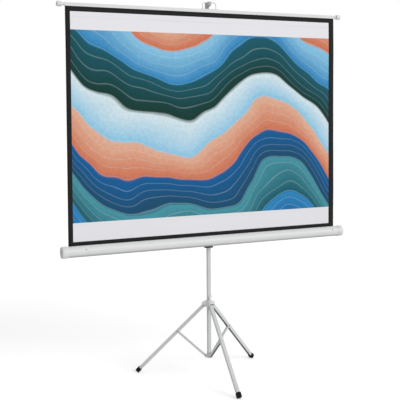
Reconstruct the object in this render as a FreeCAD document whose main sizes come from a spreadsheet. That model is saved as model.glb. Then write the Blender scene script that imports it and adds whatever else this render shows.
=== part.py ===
import FreeCAD, Part

import os
from types import SimpleNamespace

import Sketcher
from FreeCAD import Placement, Rotation, Vector

# A floor-standing projection screen on a folding tripod, in millimetres. The origin is the point on
# the floor under the pole's axis. X runs to the viewer's right, the screen faces -Y and Z is up.

SIZES = (
    # The cloth
    ("view_wide", 2032, "white viewing area, width"),
    ("view_tall", 1524, "white viewing area, height"),
    ("view_rise", 1055, "lower edge of the viewing area above the floor"),
    ("border_wide", 32, "black border round the viewing area"),
    ("cloth_thick", 0.5, "thickness of the coated cloth"),
    # Gaps
    ("slide_gap", 0.3, "each side of a sliding or seated piece"),
    ("turn_gap", 0.05, "radial, of a pin in a turning piece"),
    ("ear_gap", 0.4, "between a leg or strut and the ear beside it"),
    ("overrun", 5, "how far a cutting shape runs past what it cuts"),
    # The pole
    ("pole_side", 25, "outer square tube, side"),
    ("pole_wall", 1.2, "outer tube, wall"),
    ("pole_round", 2.5, "outer tube, corner radius"),
    ("pole_foot", 152, "lower end of the outer tube above the floor"),
    ("pole_top", 1560, "upper end of the outer tube above the floor"),
    ("inner_side", 21, "inner square tube, side"),
    ("inner_wall", 1.2, "inner tube, wall"),
    ("inner_round", 2, "inner tube, corner radius"),
    ("inner_lap", 190, "inner tube left inside the outer tube when pulled out"),
    ("glide_tall", 14, "nylon glide under the inner tube"),
    ("glide_stem", 22, "part of the glide inside the inner tube"),
    # The lock at the top of the outer tube
    ("lock_side", 38, "lock collar, side"),
    ("lock_tall", 52, "lock collar, height"),
    ("lock_lip", 8, "part of the collar above the outer tube"),
    ("lock_round", 5, "lock collar, edge radius"),
    ("cheek_deep", 12, "cheeks that carry the lever, depth"),
    ("cheek_tall", 16, "cheeks, height"),
    ("cheek_wall", 3, "cheeks, thickness"),
    ("lever_wide", 16, "lock lever, width"),
    ("lever_long", 46, "lock lever below its pin"),
    ("lever_head", 5, "lock lever above its pin"),
    ("lever_thick", 6, "lock lever, thickness"),
    ("lever_pin", 2, "lever pin, radius"),
    ("cam_room", 3.2, "hollow in the collar for the lever's cam, depth"),
    ("cam_half", 6.5, "hollow for the cam, above and below the pin"),
    # The hub that slides on the outer tube
    ("hub_rise", 512, "leg pivots above the floor"),
    ("hub_reach", 40, "leg pivots from the pole's axis"),
    ("hub_radius", 22, "round body of the hub"),
    ("hub_drop", 9, "hub below the leg pivots"),
    ("hub_roof", 36, "hub above the leg pivots"),
    ("roof_slack", 22, "room above the leg pivots under an arm's roof"),
    ("roof_wall", 2.2, "roof of an arm, thickness"),
    ("arm_reach", 12, "arm past the leg pivot"),
    ("arm_flat", 9, "level part of an arm's roof past the leg pivot"),
    ("arm_start", 24, "inner end of the room for a leg's head"),
    ("ear_wall", 2, "ears of the hub and the spider, thickness"),
    ("tongue_wide", 22, "tongue above the hub, ahead of the pole, width"),
    ("tongue_thick", 3.5, "tongue, thickness"),
    ("tongue_tall", 42, "tongue, height"),
    ("rivet_radius", 3, "leg rivets, radius"),
    ("rivet_head", 5.5, "leg rivets, radius of the head"),
    ("rivet_cap", 1.8, "rivet heads, thickness"),
    # The spring trigger on the hub's tongue
    ("trigger_wide", 15, "trigger, width"),
    ("trigger_thick", 5, "trigger, thickness"),
    ("trigger_tail", 27, "trigger below its pin"),
    ("trigger_head", 5, "trigger above its pin"),
    ("trigger_stand", 3.2, "gap between the trigger and the tongue"),
    ("trigger_drop", 10, "trigger pin below the top of the tongue"),
    ("trigger_pin", 1.5, "trigger pin, radius"),
    ("lug_wall", 2.5, "lugs that carry the trigger, thickness"),
    ("lug_tall", 14, "lugs, height"),
    # The legs, struts and lower spider
    ("foot_reach", 545, "where a leg's middle line meets the floor, from the pole's axis"),
    ("tripod_angle", -3.7, "turn of the legs from straight ahead, in degrees"),
    ("leg_wide", 24, "leg channel, width"),
    ("leg_deep", 24, "leg channel, depth"),
    ("leg_wall", 1.4, "leg channel, wall"),
    ("leg_head", 9.5, "leg above its pivot"),
    ("strut_drop", 275, "strut pivot below the leg's pivot, along the leg"),
    ("strut_wide", 18, "strut channel, width"),
    ("strut_deep", 12.5, "strut channel, depth"),
    ("strut_wall", 1.2, "strut channel, wall"),
    ("strut_end", 4.5, "strut past its pivots"),
    ("strut_rivet", 2.5, "strut rivets, radius"),
    ("strut_rivet_head", 4.5, "strut rivets, radius of the head"),
    ("spider_rise", 142, "strut pivots of the lower spider above the floor"),
    ("spider_reach", 24, "strut pivots of the lower spider from the axis"),
    ("spider_core", 15, "round core of the lower spider, radius"),
    ("spider_drop", 13, "lower spider below its pivots"),
    ("spider_stem", 24, "stem of the lower spider inside the pole"),
    ("spider_ear", 9, "ears above and below the strut pivots"),
    ("spider_lip", 3.6, "ears past the strut pivots"),
    ("stub_head", 3.6, "heads of the stub rivets in the ears, radius"),
    ("stub_cap", 1, "heads of the stub rivets in the ears, thickness"),
    ("spider_start", 6, "inner end of the spider's ears"),
    ("spider_screw", 3, "screw that fixes the spider, radius"),
    ("screw_head", 5, "spider screw, radius of the head"),
    ("screw_cap", 2.5, "spider screw, thickness of the head"),
    # The rubber feet
    ("boot_wall", 3.5, "rubber round the leg"),
    ("boot_tall", 36, "rubber foot, length along the leg"),
    ("boot_sole", 6, "rubber past the end of the leg"),
    ("boot_flat", 3, "lower edge of the foot cut away where it stands"),
    ("boot_round", 3, "edge radius of the foot"),
    # The slider that carries the case on the pole
    ("slider_front", 5, "wall ahead of the pole"),
    ("slider_back", 10, "wall behind the pole"),
    ("slider_wide", 68, "slider, width at the top"),
    ("slider_narrow", 56, "slider, width at the bottom"),
    ("slider_tall", 112, "slider, height"),
    ("slider_below", 58, "slider below the case's axis"),
    ("case_sink", 2, "case below the height at which its slot meets the cloth's border"),
    ("slider_bevel", 12, "bevel of the slider's upper corners"),
    ("slider_round", 3, "slider, edge radius"),
    ("boss_radius", 13, "boss for the knob's screw"),
    ("boss_long", 8, "boss behind the slider"),
    ("boss_drop", 22, "boss below the case's axis"),
    ("knob_screw", 4, "screw of the height knob, radius"),
    ("knob_wide", 20, "height knob, radius"),
    ("knob_thick", 14, "height knob, thickness"),
    ("knob_stem", 9, "stem of the height knob, radius"),
    ("knob_neck", 6, "stem of the height knob, length"),
    ("knob_edge", 2, "height knob, edge radius"),
    ("scallop", 4, "finger hollows of the height knob, radius"),
    ("saddle_wide", 96, "saddle between slider and case, width"),
    ("saddle_tall", 46, "saddle, height"),
    ("saddle_thin", 3.5, "saddle where it is thinnest"),
    ("pivot_radius", 6, "case pivot, radius"),
    ("pivot_head", 10, "case pivot, radius of the heads"),
    ("pivot_cap", 1.6, "case pivot, thickness of the heads"),
    ("saddle_screw", 2.5, "saddle screws, radius"),
    ("saddle_screw_head", 4.5, "saddle screws, radius of the head"),
    ("saddle_screw_cap", 2, "saddle screws, thickness of the head"),
    ("saddle_screw_set", 34, "saddle screws from the middle"),
    ("saddle_screw_bite", 5, "saddle screws inside the saddle"),
    # The case
    ("case_radius", 37.5, "case shell, outer radius"),
    ("case_wall", 1, "case shell, wall"),
    ("case_over", 18, "case shell past the cloth at each end"),
    ("slot_wide", 8, "slot of the case, width"),
    ("cap_radius", 40.5, "end cap, largest radius"),
    ("cap_rim", 39.1, "end cap, radius at its rim"),
    ("cap_lap", 6, "end cap over the shell"),
    ("cap_long", 36, "end cap past the shell"),
    ("cap_dome", 3, "rounding of the cap's end"),
    ("cap_wall", 3, "end cap, wall"),
    ("sleeve_long", 140, "sleeve of the cap inside the shell"),
    ("sleeve_wall", 2.5, "sleeve of the cap, wall"),
    ("hub_boss", 9, "boss for the roller's pin, radius"),
    ("boss_wall", 2, "gap between the boss and the roller's plug"),
    ("case_screw", 2.5, "screws that hold the caps, radius"),
    ("case_screw_head", 5, "cap screws, radius of the head"),
    ("case_screw_cap", 1.6, "cap screws, thickness of the head"),
    ("case_screw_left", 125, "left cap screw from the end of the shell"),
    ("case_screw_right", 64, "right cap screw from the end of the shell"),
    ("case_screw_tilt", 24, "cap screws above the case's front, in degrees round its axis"),
    ("case_screw_bite", 5, "cap screws from the shell's outer face inward"),
    # The spring roller
    ("roller_radius", 20, "roller tube, outer radius"),
    ("roller_wall", 1, "roller tube, wall"),
    ("roller_over", 4, "roller past the cloth at each end"),
    ("wound_thick", 1.7, "cloth left on the roller"),
    ("pin_radius", 4, "roller's pins, radius"),
    ("pin_in", 16, "pin inside the cap's boss"),
    ("plug_long", 26, "plug inside the roller's end"),
    ("flange_wall", 3, "flange of the roller's plug"),
    ("shaft_long", 720, "spring shaft inside the roller"),
    ("anchor_long", 16, "anchor on the shaft's end"),
    ("spring_radius", 11, "torsion spring, outer radius"),
    ("spring_wire", 2.4, "torsion spring, wire"),
    # The top bar and its hanger
    ("bar_tall", 25, "top bar, height"),
    ("bar_deep", 14, "top bar, depth"),
    ("bar_wall", 1.5, "top bar, wall"),
    ("bar_round", 3.5, "top bar, edge radius"),
    ("bar_over", 3, "top bar past the cloth at each end"),
    ("bar_slot", 3, "slot under the top bar"),
    ("hem_radius", 3, "rod in the cloth's hem, radius"),
    ("tip_neck", 9.5, "neck of the bar's end knob, radius"),
    ("tip_neck_long", 17, "neck, length"),
    ("tip_radius", 18, "end knob, radius"),
    ("tip_long", 36, "end knob, length"),
    ("tip_round", 7, "end knob, edge radius"),
    ("tip_stem", 5, "stem of the end knob inside the bar, radius"),
    ("tip_stem_long", 30, "stem, length"),
    ("bail_wide", 104, "hanger loop between the middles of its legs"),
    ("bail_tall", 47, "middle of the loop's top wire above the bar"),
    ("bail_wire", 3, "hanger loop, radius of the wire"),
    ("bail_bend", 16, "hanger loop, bend radius"),
    ("strip_long", 136, "strip under the hanger loop, length"),
    ("strip_deep", 11, "strip, depth"),
    ("strip_thick", 2, "strip, thickness"),
    ("strip_screw", 1.6, "strip screws, radius"),
    ("strip_screw_head", 3, "strip screws, radius of the head"),
    ("strip_screw_cap", 1.2, "strip screws, thickness of the head"),
    ("strip_screw_in", 6, "strip screws from the strip's ends"),
    # The hook on the inner tube
    ("hook_rise", 44, "middle of the loop's wire above the inner tube"),
    ("hook_wide", 22, "hook, width"),
    ("hook_back", 12, "hook behind the pole's axis"),
    ("hook_crown", 6, "top of the hook above the wire's middle"),
    ("hook_lip", 12, "front of the hook past the wire's middle"),
    ("hook_depth", 18, "underside of the horn below the wire, at the front"),
    ("hook_root", 28, "underside of the horn below the wire, at the pole"),
    ("hook_stem", 24, "hook's stem inside the inner tube"),
    ("hook_bevel", 4, "bevels on top of the hook"),
)

LEG_NAMES = ("front", "right", "left")
KNOB_DENTS = 8
TINY = 1e-6

doc = FreeCAD.newDocument("projection_screen")
sheet = doc.addObject("Spreadsheet::Sheet", "sizes")
for row, (alias, value, meaning) in enumerate(SIZES, 1):
    sheet.set(f"A{row}", alias)
    sheet.set(f"B{row}", str(value))
    sheet.setAlias(f"B{row}", alias)
    sheet.set(f"C{row}", meaning)
doc.recompute()
S = SimpleNamespace(**{alias: f"sizes.{alias}" for alias, value, meaning in SIZES})
parts = {}


def num(expression):
    """The value of an expression in the sheet's sizes."""
    value = sheet.evalExpression(str(expression))
    return float(getattr(value, "Value", value))


# Places that follow from the driving sizes, as expressions

CLOTH_WIDE = f"({S.view_wide} + 2 * {S.border_wide})"
CLOTH_LOW = f"({S.view_rise} - {S.border_wide})"
CLOTH_HIGH = f"({S.view_rise} + {S.view_tall} + {S.border_wide})"
POLE_FACE = f"({S.pole_side} / 2)"
SLIDER_IN = f"({POLE_FACE} + {S.slide_gap})"
SLIDER_FACE = f"({SLIDER_IN} + {S.slider_front})"
SADDLE_BACK = f"({SLIDER_FACE} + {S.slide_gap})"
CASE_BACK = f"({SADDLE_BACK} + {S.saddle_thin})"
CASE_Y = f"(-({CASE_BACK} + {S.slide_gap} + {S.case_radius}))"
WOUND = f"({S.roller_radius} + {S.slide_gap} + {S.wound_thick})"
CLOTH_SET = f"({WOUND} + {S.slide_gap} + {S.cloth_thick} / 2)"
CLOTH_Y = f"({CASE_Y} + {CLOTH_SET})"
CASE_Z = f"({CLOTH_LOW} - {S.case_sink} - sqrt({S.case_radius} ^ 2 - {CLOTH_SET} ^ 2))"
CASE_END = f"({CLOTH_WIDE} / 2 + {S.case_over})"
CASE_LONG = f"(2 * {CASE_END})"
ROLLER_END = f"({CLOTH_WIDE} / 2 + {S.roller_over})"
BAR_LOW = CLOTH_HIGH
BAR_HIGH = f"({BAR_LOW} + {S.bar_tall})"
BAR_END = f"({CLOTH_WIDE} / 2 + {S.bar_over})"
WIRE_Z = f"({BAR_HIGH} + {S.bail_tall})"
INNER_TOP = f"({WIRE_Z} - {S.hook_rise})"
INNER_LOW = f"({S.pole_top} - {S.inner_lap})"
LEG_OUT = f"({S.foot_reach} - {S.hub_reach})"
LEG_LINE = f"sqrt({LEG_OUT} ^ 2 + {S.hub_rise} ^ 2)"
LEG_LEAN = f"(atan({LEG_OUT} / {S.hub_rise}) / 1 deg)"
BOOT_DEEP = f"({S.leg_deep} + 2 * {S.boot_wall})"
BOOT_FALL = f"(({S.hub_rise} + {S.boot_flat}) * {LEG_LINE})"
BOOT_END = f"(({BOOT_FALL} - {BOOT_DEEP} / 2 * {LEG_OUT}) / {S.hub_rise})"
STRUT_X = f"({S.hub_reach} + {S.strut_drop} * {LEG_OUT} / {LEG_LINE})"
STRUT_Z = f"({S.hub_rise} - {S.strut_drop} * {S.hub_rise} / {LEG_LINE})"
STRUT_IN = f"({STRUT_X} - {S.spider_reach})"
STRUT_FALL = f"({STRUT_Z} - {S.spider_rise})"
STRUT_LONG = f"sqrt({STRUT_IN} ^ 2 + {STRUT_FALL} ^ 2)"
STRUT_LEAN = f"(atan({STRUT_IN} / {STRUT_FALL}) / 1 deg)"
HUB_BORE = f"({S.pole_side} + 2 * {S.slide_gap})"
TUBE_BORE = f"({S.pole_side} - 2 * {S.pole_wall} - 2 * {S.slide_gap})"
SCREW_Z = f"({S.pole_foot} + {S.spider_stem} / 2)"
ARM_HALF = f"({S.leg_wide} / 2 + {S.ear_gap} + {S.ear_wall})"
TONGUE_FACE = f"({HUB_BORE} / 2 + {S.tongue_thick})"
TRIGGER_X = f"({TONGUE_FACE} + {S.trigger_stand} + {S.trigger_thick} / 2)"
TRIGGER_Z = f"({S.hub_roof} + {S.tongue_tall} - {S.trigger_drop})"
LEG_TURNS = [num(S.tripod_angle) - 90 + 360 / len(LEG_NAMES) * i for i in range(len(LEG_NAMES))]
LEVER_Y = f"({S.lock_side} / 2 + {S.slide_gap} + {S.lever_thick} / 2)"
LEVER_Z = f"({S.pole_top} - {S.lock_tall} / 2 + {S.cheek_tall} / 2)"


def bind(thing, **sizes):
    """Ties properties of a feature to expressions; x, y and z are its place."""
    for prop, expression in sizes.items():
        path = f"Placement.Base.{prop}" if prop in ("x", "y", "z") else prop
        thing.setExpression(path, str(expression))
    return thing


def keep(node, thing):
    """Names the finished shape of one piece."""
    thing.Label = node
    parts[node] = thing
    return thing


# Part primitives and booleans


def box(name, low, size):
    """A box from its lowest corner."""
    thing = doc.addObject("Part::Box", name)
    return bind(
        thing, x=low[0], y=low[1], z=low[2], Length=size[0], Width=size[1], Height=size[2]
    )


def rod(name, way, start, radius, length):
    """A cylinder from the middle of its first end, along one axis."""
    thing = doc.addObject("Part::Cylinder", name)
    turns = {
        "x": Rotation(Vector(0, 1, 0), 90),
        "y": Rotation(Vector(1, 0, 0), -90),
        "z": Rotation(),
    }
    thing.Placement = Placement(Vector(), turns[way])
    return bind(thing, x=start[0], y=start[1], z=start[2], Radius=radius, Height=length)


def joined(name, *pieces):
    """One shape from several that touch or overlap."""
    thing = doc.addObject("Part::MultiFuse", name)
    thing.Shapes = list(pieces)
    thing.Refine = True
    return thing


def group(name, *pieces):
    """Several like pieces, each a solid of its own."""
    thing = doc.addObject("Part::Compound", name)
    thing.Links = list(pieces)
    return thing


def cut(name, base, *tools):
    """A shape less the tools."""
    thing = doc.addObject("Part::Cut", name)
    thing.Base = base
    thing.Tool = tools[0] if len(tools) == 1 else joined(name + "_tools", *tools)
    thing.Refine = True
    return thing


def rounded(name, base, radius, wanted=lambda edge: True):
    """A shape with some of its edges rounded."""
    doc.recompute()
    thing = doc.addObject("Part::Fillet", name)
    thing.Base = base
    size = num(radius)
    thing.Edges = [
        (place, size, size) for place, edge in enumerate(base.Shape.Edges, 1) if wanted(edge)
    ]
    return thing


def is_upright(edge):
    """True of a straight edge that runs along Z."""
    ends = [vertex.Point for vertex in edge.Vertexes]
    return len(ends) == 2 and (ends[0] - ends[1]).cross(Vector(0, 0, 1)).Length < TINY


# PartDesign bodies


def body(name):
    """An empty body."""
    return doc.addObject("PartDesign::Body", name)


def sketch(owner, name, role, loops, middle="0"):
    """A sketch on one of the body's own planes. A loop is a list of corners, or circles."""
    drawing = owner.newObject("Sketcher::SketchObject", name)
    base = next(f for f in owner.Origin.OriginFeatures if f.Role == role)
    drawing.AttachmentSupport = [(base, "")]
    drawing.MapMode = "FlatFace"
    sign = "-1 *" if role == "XZ_Plane" else "1 *"
    drawing.setExpression("AttachmentOffset.Base.z", f"{sign} ({middle})")
    for loop in loops:
        if isinstance(loop, dict):
            draw_circle(drawing, loop["at"], loop["radius"])
        else:
            draw_polygon(drawing, loop)
    return drawing


def pin_down(drawing, element, point, place):
    """Holds a point of the sketch at two expressions from the origin."""
    for kind, expression in zip(("DistanceX", "DistanceY"), place):
        rule = Sketcher.Constraint(kind, -1, 1, element, point, num(expression))
        index = drawing.addConstraint(rule)
        drawing.setExpression(f"Constraints[{index}]", str(expression))


def draw_polygon(drawing, corners):
    """A closed outline of straight lines."""
    spots = [Vector(num(x), num(y), 0) for x, y in corners]
    first = drawing.GeometryCount
    count = len(spots)
    for i in range(count):
        drawing.addGeometry(Part.LineSegment(spots[i], spots[(i + 1) % count]), False)
    for i in range(count):
        follows = first + (i + 1) % count
        drawing.addConstraint(Sketcher.Constraint("Coincident", first + i, 2, follows, 1))
    for i in range(count):
        pin_down(drawing, first + i, 1, corners[i])


def draw_circle(drawing, place, radius):
    """A full circle."""
    middle = Vector(num(place[0]), num(place[1]), 0)
    ring = drawing.addGeometry(Part.Circle(middle, Vector(0, 0, 1), num(radius)), False)
    index = drawing.addConstraint(Sketcher.Constraint("Radius", ring, num(radius)))
    drawing.setExpression(f"Constraints[{index}]", str(radius))
    pin_down(drawing, ring, 3, place)


def feature(owner, kind, name, drawing, length, side):
    """A pad or a pocket of a sketch."""
    thing = owner.newObject(f"PartDesign::{kind}", name)
    thing.Profile = drawing
    thing.SideType = side
    thing.setExpression("Length", str(length))
    return thing


def pad(owner, name, role, loops, length, middle="0"):
    """Material on both sides of a plane, length in all."""
    drawing = sketch(owner, name + "_outline", role, loops, middle)
    return feature(owner, "Pad", name, drawing, length, "Symmetric")


def pocket(owner, name, role, loops, length, middle="0"):
    """A cut on both sides of a plane, length in all."""
    drawing = sketch(owner, name + "_outline", role, loops, middle)
    return feature(owner, "Pocket", name, drawing, length, "Symmetric")


def revolved(owner, name, corners):
    """A solid of revolution about the body's Z axis. Corners are radius and height."""
    drawing = sketch(owner, name + "_outline", "XZ_Plane", [corners])
    thing = owner.newObject("PartDesign::Revolution", name)
    thing.Profile = drawing
    axis = next(f for f in owner.Origin.OriginFeatures if f.Role == "Z_Axis")
    thing.ReferenceAxis = (axis, [""])
    thing.Angle = 360
    return thing


def around(owner, name, originals, count):
    """Copies of features in a ring about the body's Z axis."""
    ring = owner.newObject("PartDesign::PolarPattern", name)
    ring.Originals = originals
    axis = next(f for f in owner.Origin.OriginFeatures if f.Role == "Z_Axis")
    ring.Axis = (axis, [""])
    ring.Angle = 360
    ring.Occurrences = count
    owner.Tip = ring
    return ring


def soften(owner, name, radius, wanted):
    """A fillet on the edges of the body's last feature that are wanted."""
    doc.recompute()
    last = owner.Tip
    names = [f"Edge{i}" for i, edge in enumerate(last.Shape.Edges, 1) if wanted(edge)]
    thing = owner.newObject("PartDesign::Fillet", name)
    thing.Base = (last, names)
    thing.setExpression("Radius", str(radius))
    return thing


def rectangle(wide, deep, x="0", y="0"):
    """Corners of a rectangle about a middle."""
    return [
        (f"({x}) - ({wide}) / 2", f"({y}) - ({deep}) / 2"),
        (f"({x}) + ({wide}) / 2", f"({y}) - ({deep}) / 2"),
        (f"({x}) + ({wide}) / 2", f"({y}) + ({deep}) / 2"),
        (f"({x}) - ({wide}) / 2", f"({y}) + ({deep}) / 2"),
    ]


def span(low, high, left, right):
    """Corners of a rectangle between two heights and two sides."""
    return [(left, low), (right, low), (right, high), (left, high)]


# The pole


def square_tube(node, side, wall, radius, low, high):
    """A square tube with rounded corners, upright on the pole's axis."""
    tube = body(node)
    tall = f"(({high}) - ({low}))"
    middle = f"((({high}) + ({low})) / 2)"
    bore = f"({side} - 2 * {wall})"
    pad(tube, node + "_wall", "XY_Plane", [rectangle(side, side)], tall, middle)
    soften(tube, node + "_corners", radius, is_upright)
    pocket(tube, node + "_bore", "XY_Plane", [rectangle(bore, bore)], tall, middle)
    return keep(node, tube)


def make_pole():
    """Outer and inner tube and the glide under the inner one."""
    outer = square_tube(
        "outer_tube", S.pole_side, S.pole_wall, S.pole_round, S.pole_foot, S.pole_top
    )
    screw_hole = [{"at": ("0", SCREW_Z), "radius": f"{S.spider_screw} + {S.slide_gap}"}]
    pocket(outer, "outer_tube_screw_hole", "XZ_Plane", screw_hole, f"2 * {S.pole_side}")
    square_tube(
        "inner_tube", S.inner_side, S.inner_wall, S.inner_round, INNER_LOW, INNER_TOP
    )
    glide = body("inner_glide")
    inside = f"({S.inner_side} - 2 * {S.inner_wall} - 2 * {S.slide_gap})"
    skirt_mid = f"({INNER_LOW} - {S.glide_tall} / 2)"
    core_mid = f"({INNER_LOW} + {S.glide_stem} / 2)"
    pad(glide, "glide_skirt", "XY_Plane", [rectangle(TUBE_BORE, TUBE_BORE)], S.glide_tall, skirt_mid)
    pad(glide, "glide_stem", "XY_Plane", [rectangle(inside, inside)], S.glide_stem, core_mid)
    keep("inner_glide", glide)


def make_extension_lock():
    """A collar on the outer tube's top with a cam lever behind it that grips the inner tube."""
    collar = body("lock_collar")
    low = f"({S.pole_top} + {S.lock_lip} - {S.lock_tall})"
    high = f"({S.pole_top} + {S.lock_lip})"
    middle = f"(({low} + {high}) / 2)"
    side = S.lock_side
    pad(collar, "collar_block", "XY_Plane", [rectangle(side, side)], S.lock_tall, middle)
    soften(collar, "collar_corners", S.lock_round, is_upright)
    reach = f"({S.cheek_deep} + {S.overrun})"
    cheek_y = f"({S.lock_side} / 2 - {S.overrun} + {reach} / 2)"
    cheek_x = f"({S.lever_wide} / 2 + {S.slide_gap} + {S.cheek_wall} / 2)"
    cheeks = [
        rectangle(S.cheek_wall, reach, cheek_x, cheek_y),
        rectangle(S.cheek_wall, reach, f"-{cheek_x}", cheek_y),
    ]
    pad(collar, "collar_cheeks", "XY_Plane", cheeks, S.cheek_tall, LEVER_Z)
    bore = f"({S.pole_side} + 2 * {S.slide_gap})"
    throat = f"({S.inner_side} + 2 * {S.slide_gap})"
    grip = f"({S.lock_tall} - {S.lock_lip})"
    grip_mid = f"({S.pole_top} - {grip} / 2)"
    pocket(collar, "collar_bore", "XY_Plane", [rectangle(bore, bore)], grip, grip_mid)
    pocket(
        collar, "collar_throat", "XY_Plane", [rectangle(throat, throat)],
        f"2 * {S.lock_tall}", middle,
    )
    pin_hole = [{"at": (LEVER_Y, LEVER_Z), "radius": f"{S.lever_pin} + {S.turn_gap}"}]
    pocket(collar, "collar_pin_hole", "YZ_Plane", pin_hole, f"2 * {S.lock_side}")
    cam_wide = f"({S.lever_wide} + 2 * {S.slide_gap})"
    cam = [rectangle(cam_wide, f"2 * {S.cam_half}", "0", LEVER_Z)]
    pocket(collar, "collar_cam_room", "XZ_Plane", cam, f"2 * {S.cam_room}", f"({side} / 2)")
    keep("lock_collar", collar)
    pin_long = f"({S.lever_wide} + 2 * {S.slide_gap} + 2 * {S.cheek_wall})"
    keep(
        "lever_pin",
        rod("lever_pin", "x", (f"-{pin_long} / 2", LEVER_Y, LEVER_Z), S.lever_pin, pin_long),
    )
    lever = body("lock_lever")
    inside = f"({LEVER_Y} - {S.lever_thick} / 2)"
    outside = f"({LEVER_Y} + {S.lever_thick} / 2)"
    tail = f"({LEVER_Z} - {S.lever_long})"
    outline = [
        (inside, f"{LEVER_Z} + {S.lever_head}"),
        (inside, tail),
        (f"{outside} + {S.lever_thick} / 2", f"{tail} - {S.lever_thick} / 2"),
        (f"{outside} + {S.lever_thick}", f"{tail}"),
        (outside, f"{tail} + 2 * {S.lever_thick}"),
        (outside, f"{LEVER_Z} + {S.lever_head}"),
    ]
    pad(lever, "lever_blade", "YZ_Plane", [outline], S.lever_wide)
    pocket(lever, "lever_bore", "YZ_Plane", pin_hole, f"2 * {S.lever_wide}")
    keep("lock_lever", lever)


# The tripod


def channel_outline(wide, deep, wall, opens):
    """A U section in the XY plane. opens is -1 or 1, the side of X that is open."""
    edge = f"({opens} * {deep} / 2)"
    back = f"(-1 * {opens} * {deep} / 2)"
    web = f"(-1 * {opens} * ({deep} / 2 - {wall}))"
    outer = f"({wide} / 2)"
    inner = f"({wide} / 2 - {wall})"
    return [
        (edge, f"-{outer}"),
        (back, f"-{outer}"),
        (back, outer),
        (edge, outer),
        (edge, inner),
        (web, inner),
        (web, f"-{inner}"),
        (edge, f"-{inner}"),
    ]


def outer_bends(deep, opens):
    """Picks the two long outer edges at the web of a channel."""
    back = -opens * num(deep) / 2

    def wanted(edge):
        at_web = all(abs(v.X - back) < TINY for v in edge.Vertexes)
        return is_upright(edge) and at_web

    return wanted


def radial(turn, x=0.0, z=0.0, lean=0.0):
    """A place in the upright plane of one leg: out from the axis, up, and turned in that plane."""
    spin = Placement(Vector(), Rotation(Vector(0, 0, 1), turn))
    shift = Placement(Vector(x, 0, z), Rotation(Vector(0, 1, 0), lean))
    return spin.multiply(shift)


def make_leg(name, turn):
    """A leg channel, hung from its pivot, with the rivet that carries its strut."""
    node = f"leg_{name}"
    leg = body(node)
    length = f"({S.leg_head} + {BOOT_END} - {S.boot_sole})"
    middle = f"({S.leg_head} - {length} / 2)"
    section = channel_outline(S.leg_wide, S.leg_deep, S.leg_wall, -1)
    pad(leg, node + "_channel", "XY_Plane", [section], length, middle)
    soften(leg, node + "_bends", S.leg_wall, outer_bends(S.leg_deep, -1))
    holes = [
        {"at": ("0", "0"), "radius": f"{S.rivet_radius} + {S.turn_gap}"},
        {"at": ("0", f"-{S.strut_drop}"), "radius": f"{S.strut_rivet} + {S.turn_gap}"},
    ]
    pocket(leg, node + "_holes", "XZ_Plane", holes, f"2 * {S.leg_wide}")
    place = radial(turn, num(S.hub_reach), num(S.hub_rise), -num(LEG_LEAN))
    leg.Placement = place
    keep(node, leg)
    rivet = make_rivet(
        f"strut_rivet_{name}", S.strut_rivet, S.strut_rivet_head, S.leg_wide, S.rivet_cap
    )
    rivet.Placement = place.multiply(Placement(Vector(0, 0, -num(S.strut_drop)), Rotation()))
    keep(f"strut_rivet_{name}", rivet)


def make_rivet(name, radius, head, grip, cap):
    """A rivet along Y through the origin, with a flat head on each side of its grip."""
    shank = rod(name + "_shank", "y", ("0", f"-{grip} / 2", "0"), radius, grip)
    near = rod(name + "_near", "y", ("0", f"-{grip} / 2 - {cap}", "0"), head, cap)
    far = rod(name + "_far", "y", ("0", f"{grip} / 2", "0"), head, cap)
    return joined(name, shank, near, far)


def make_strut(name, turn):
    """A strut channel from a leg's rivet down to the lower spider."""
    node = f"strut_{name}"
    strut = body(node)
    length = f"({STRUT_LONG} + 2 * {S.strut_end})"
    section = channel_outline(S.strut_wide, S.strut_deep, S.strut_wall, 1)
    pad(strut, node + "_channel", "XY_Plane", [section], length, f"(-{STRUT_LONG} / 2)")
    soften(strut, node + "_bends", S.strut_wall, outer_bends(S.strut_deep, 1))
    hole = f"{S.strut_rivet} + {S.turn_gap}"
    holes = [
        {"at": ("0", "0"), "radius": hole},
        {"at": ("0", f"-{STRUT_LONG}"), "radius": hole},
    ]
    pocket(strut, node + "_holes", "XZ_Plane", holes, f"2 * {S.strut_wide}")
    strut.Placement = radial(turn, num(STRUT_X), num(STRUT_Z), num(STRUT_LEAN))
    keep(node, strut)


def make_foot(name, turn):
    """A rubber boot on the end of a leg, its lower edge cut flat where it stands."""
    node = f"foot_{name}"
    wide = f"({S.leg_wide} + 2 * {S.boot_wall})"
    block = box(
        node + "_block", (f"-{BOOT_DEEP} / 2", f"-{wide} / 2", f"-{BOOT_END}"),
        (BOOT_DEEP, wide, S.boot_tall),
    )
    block = rounded(node + "_round", block, S.boot_round)
    nest = box(
        node + "_nest",
        (f"-{S.leg_deep} / 2", f"-{S.leg_wide} / 2", f"-{BOOT_END} + {S.boot_sole}"),
        (S.leg_deep, S.leg_wide, S.boot_tall),
    )
    shoe = cut(node + "_shoe", block, nest)
    shoe.Placement = radial(0, num(S.hub_reach), num(S.hub_rise), -num(LEG_LEAN))
    floor = box(
        node + "_floor",
        (f"{S.foot_reach} - 2 * {S.boot_tall}", f"-{wide}", f"-{S.boot_tall}"),
        (f"4 * {S.boot_tall}", f"2 * {wide}", S.boot_tall),
    )
    foot = cut(node, shoe, floor)
    foot.Placement = radial(turn)
    keep(node, foot)


def pole_bore(name, low, tall):
    """What a piece that slides or sits on the pole leaves free."""
    return box(name, (f"-{HUB_BORE} / 2", f"-{HUB_BORE} / 2", low), (HUB_BORE, HUB_BORE, tall))


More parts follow.
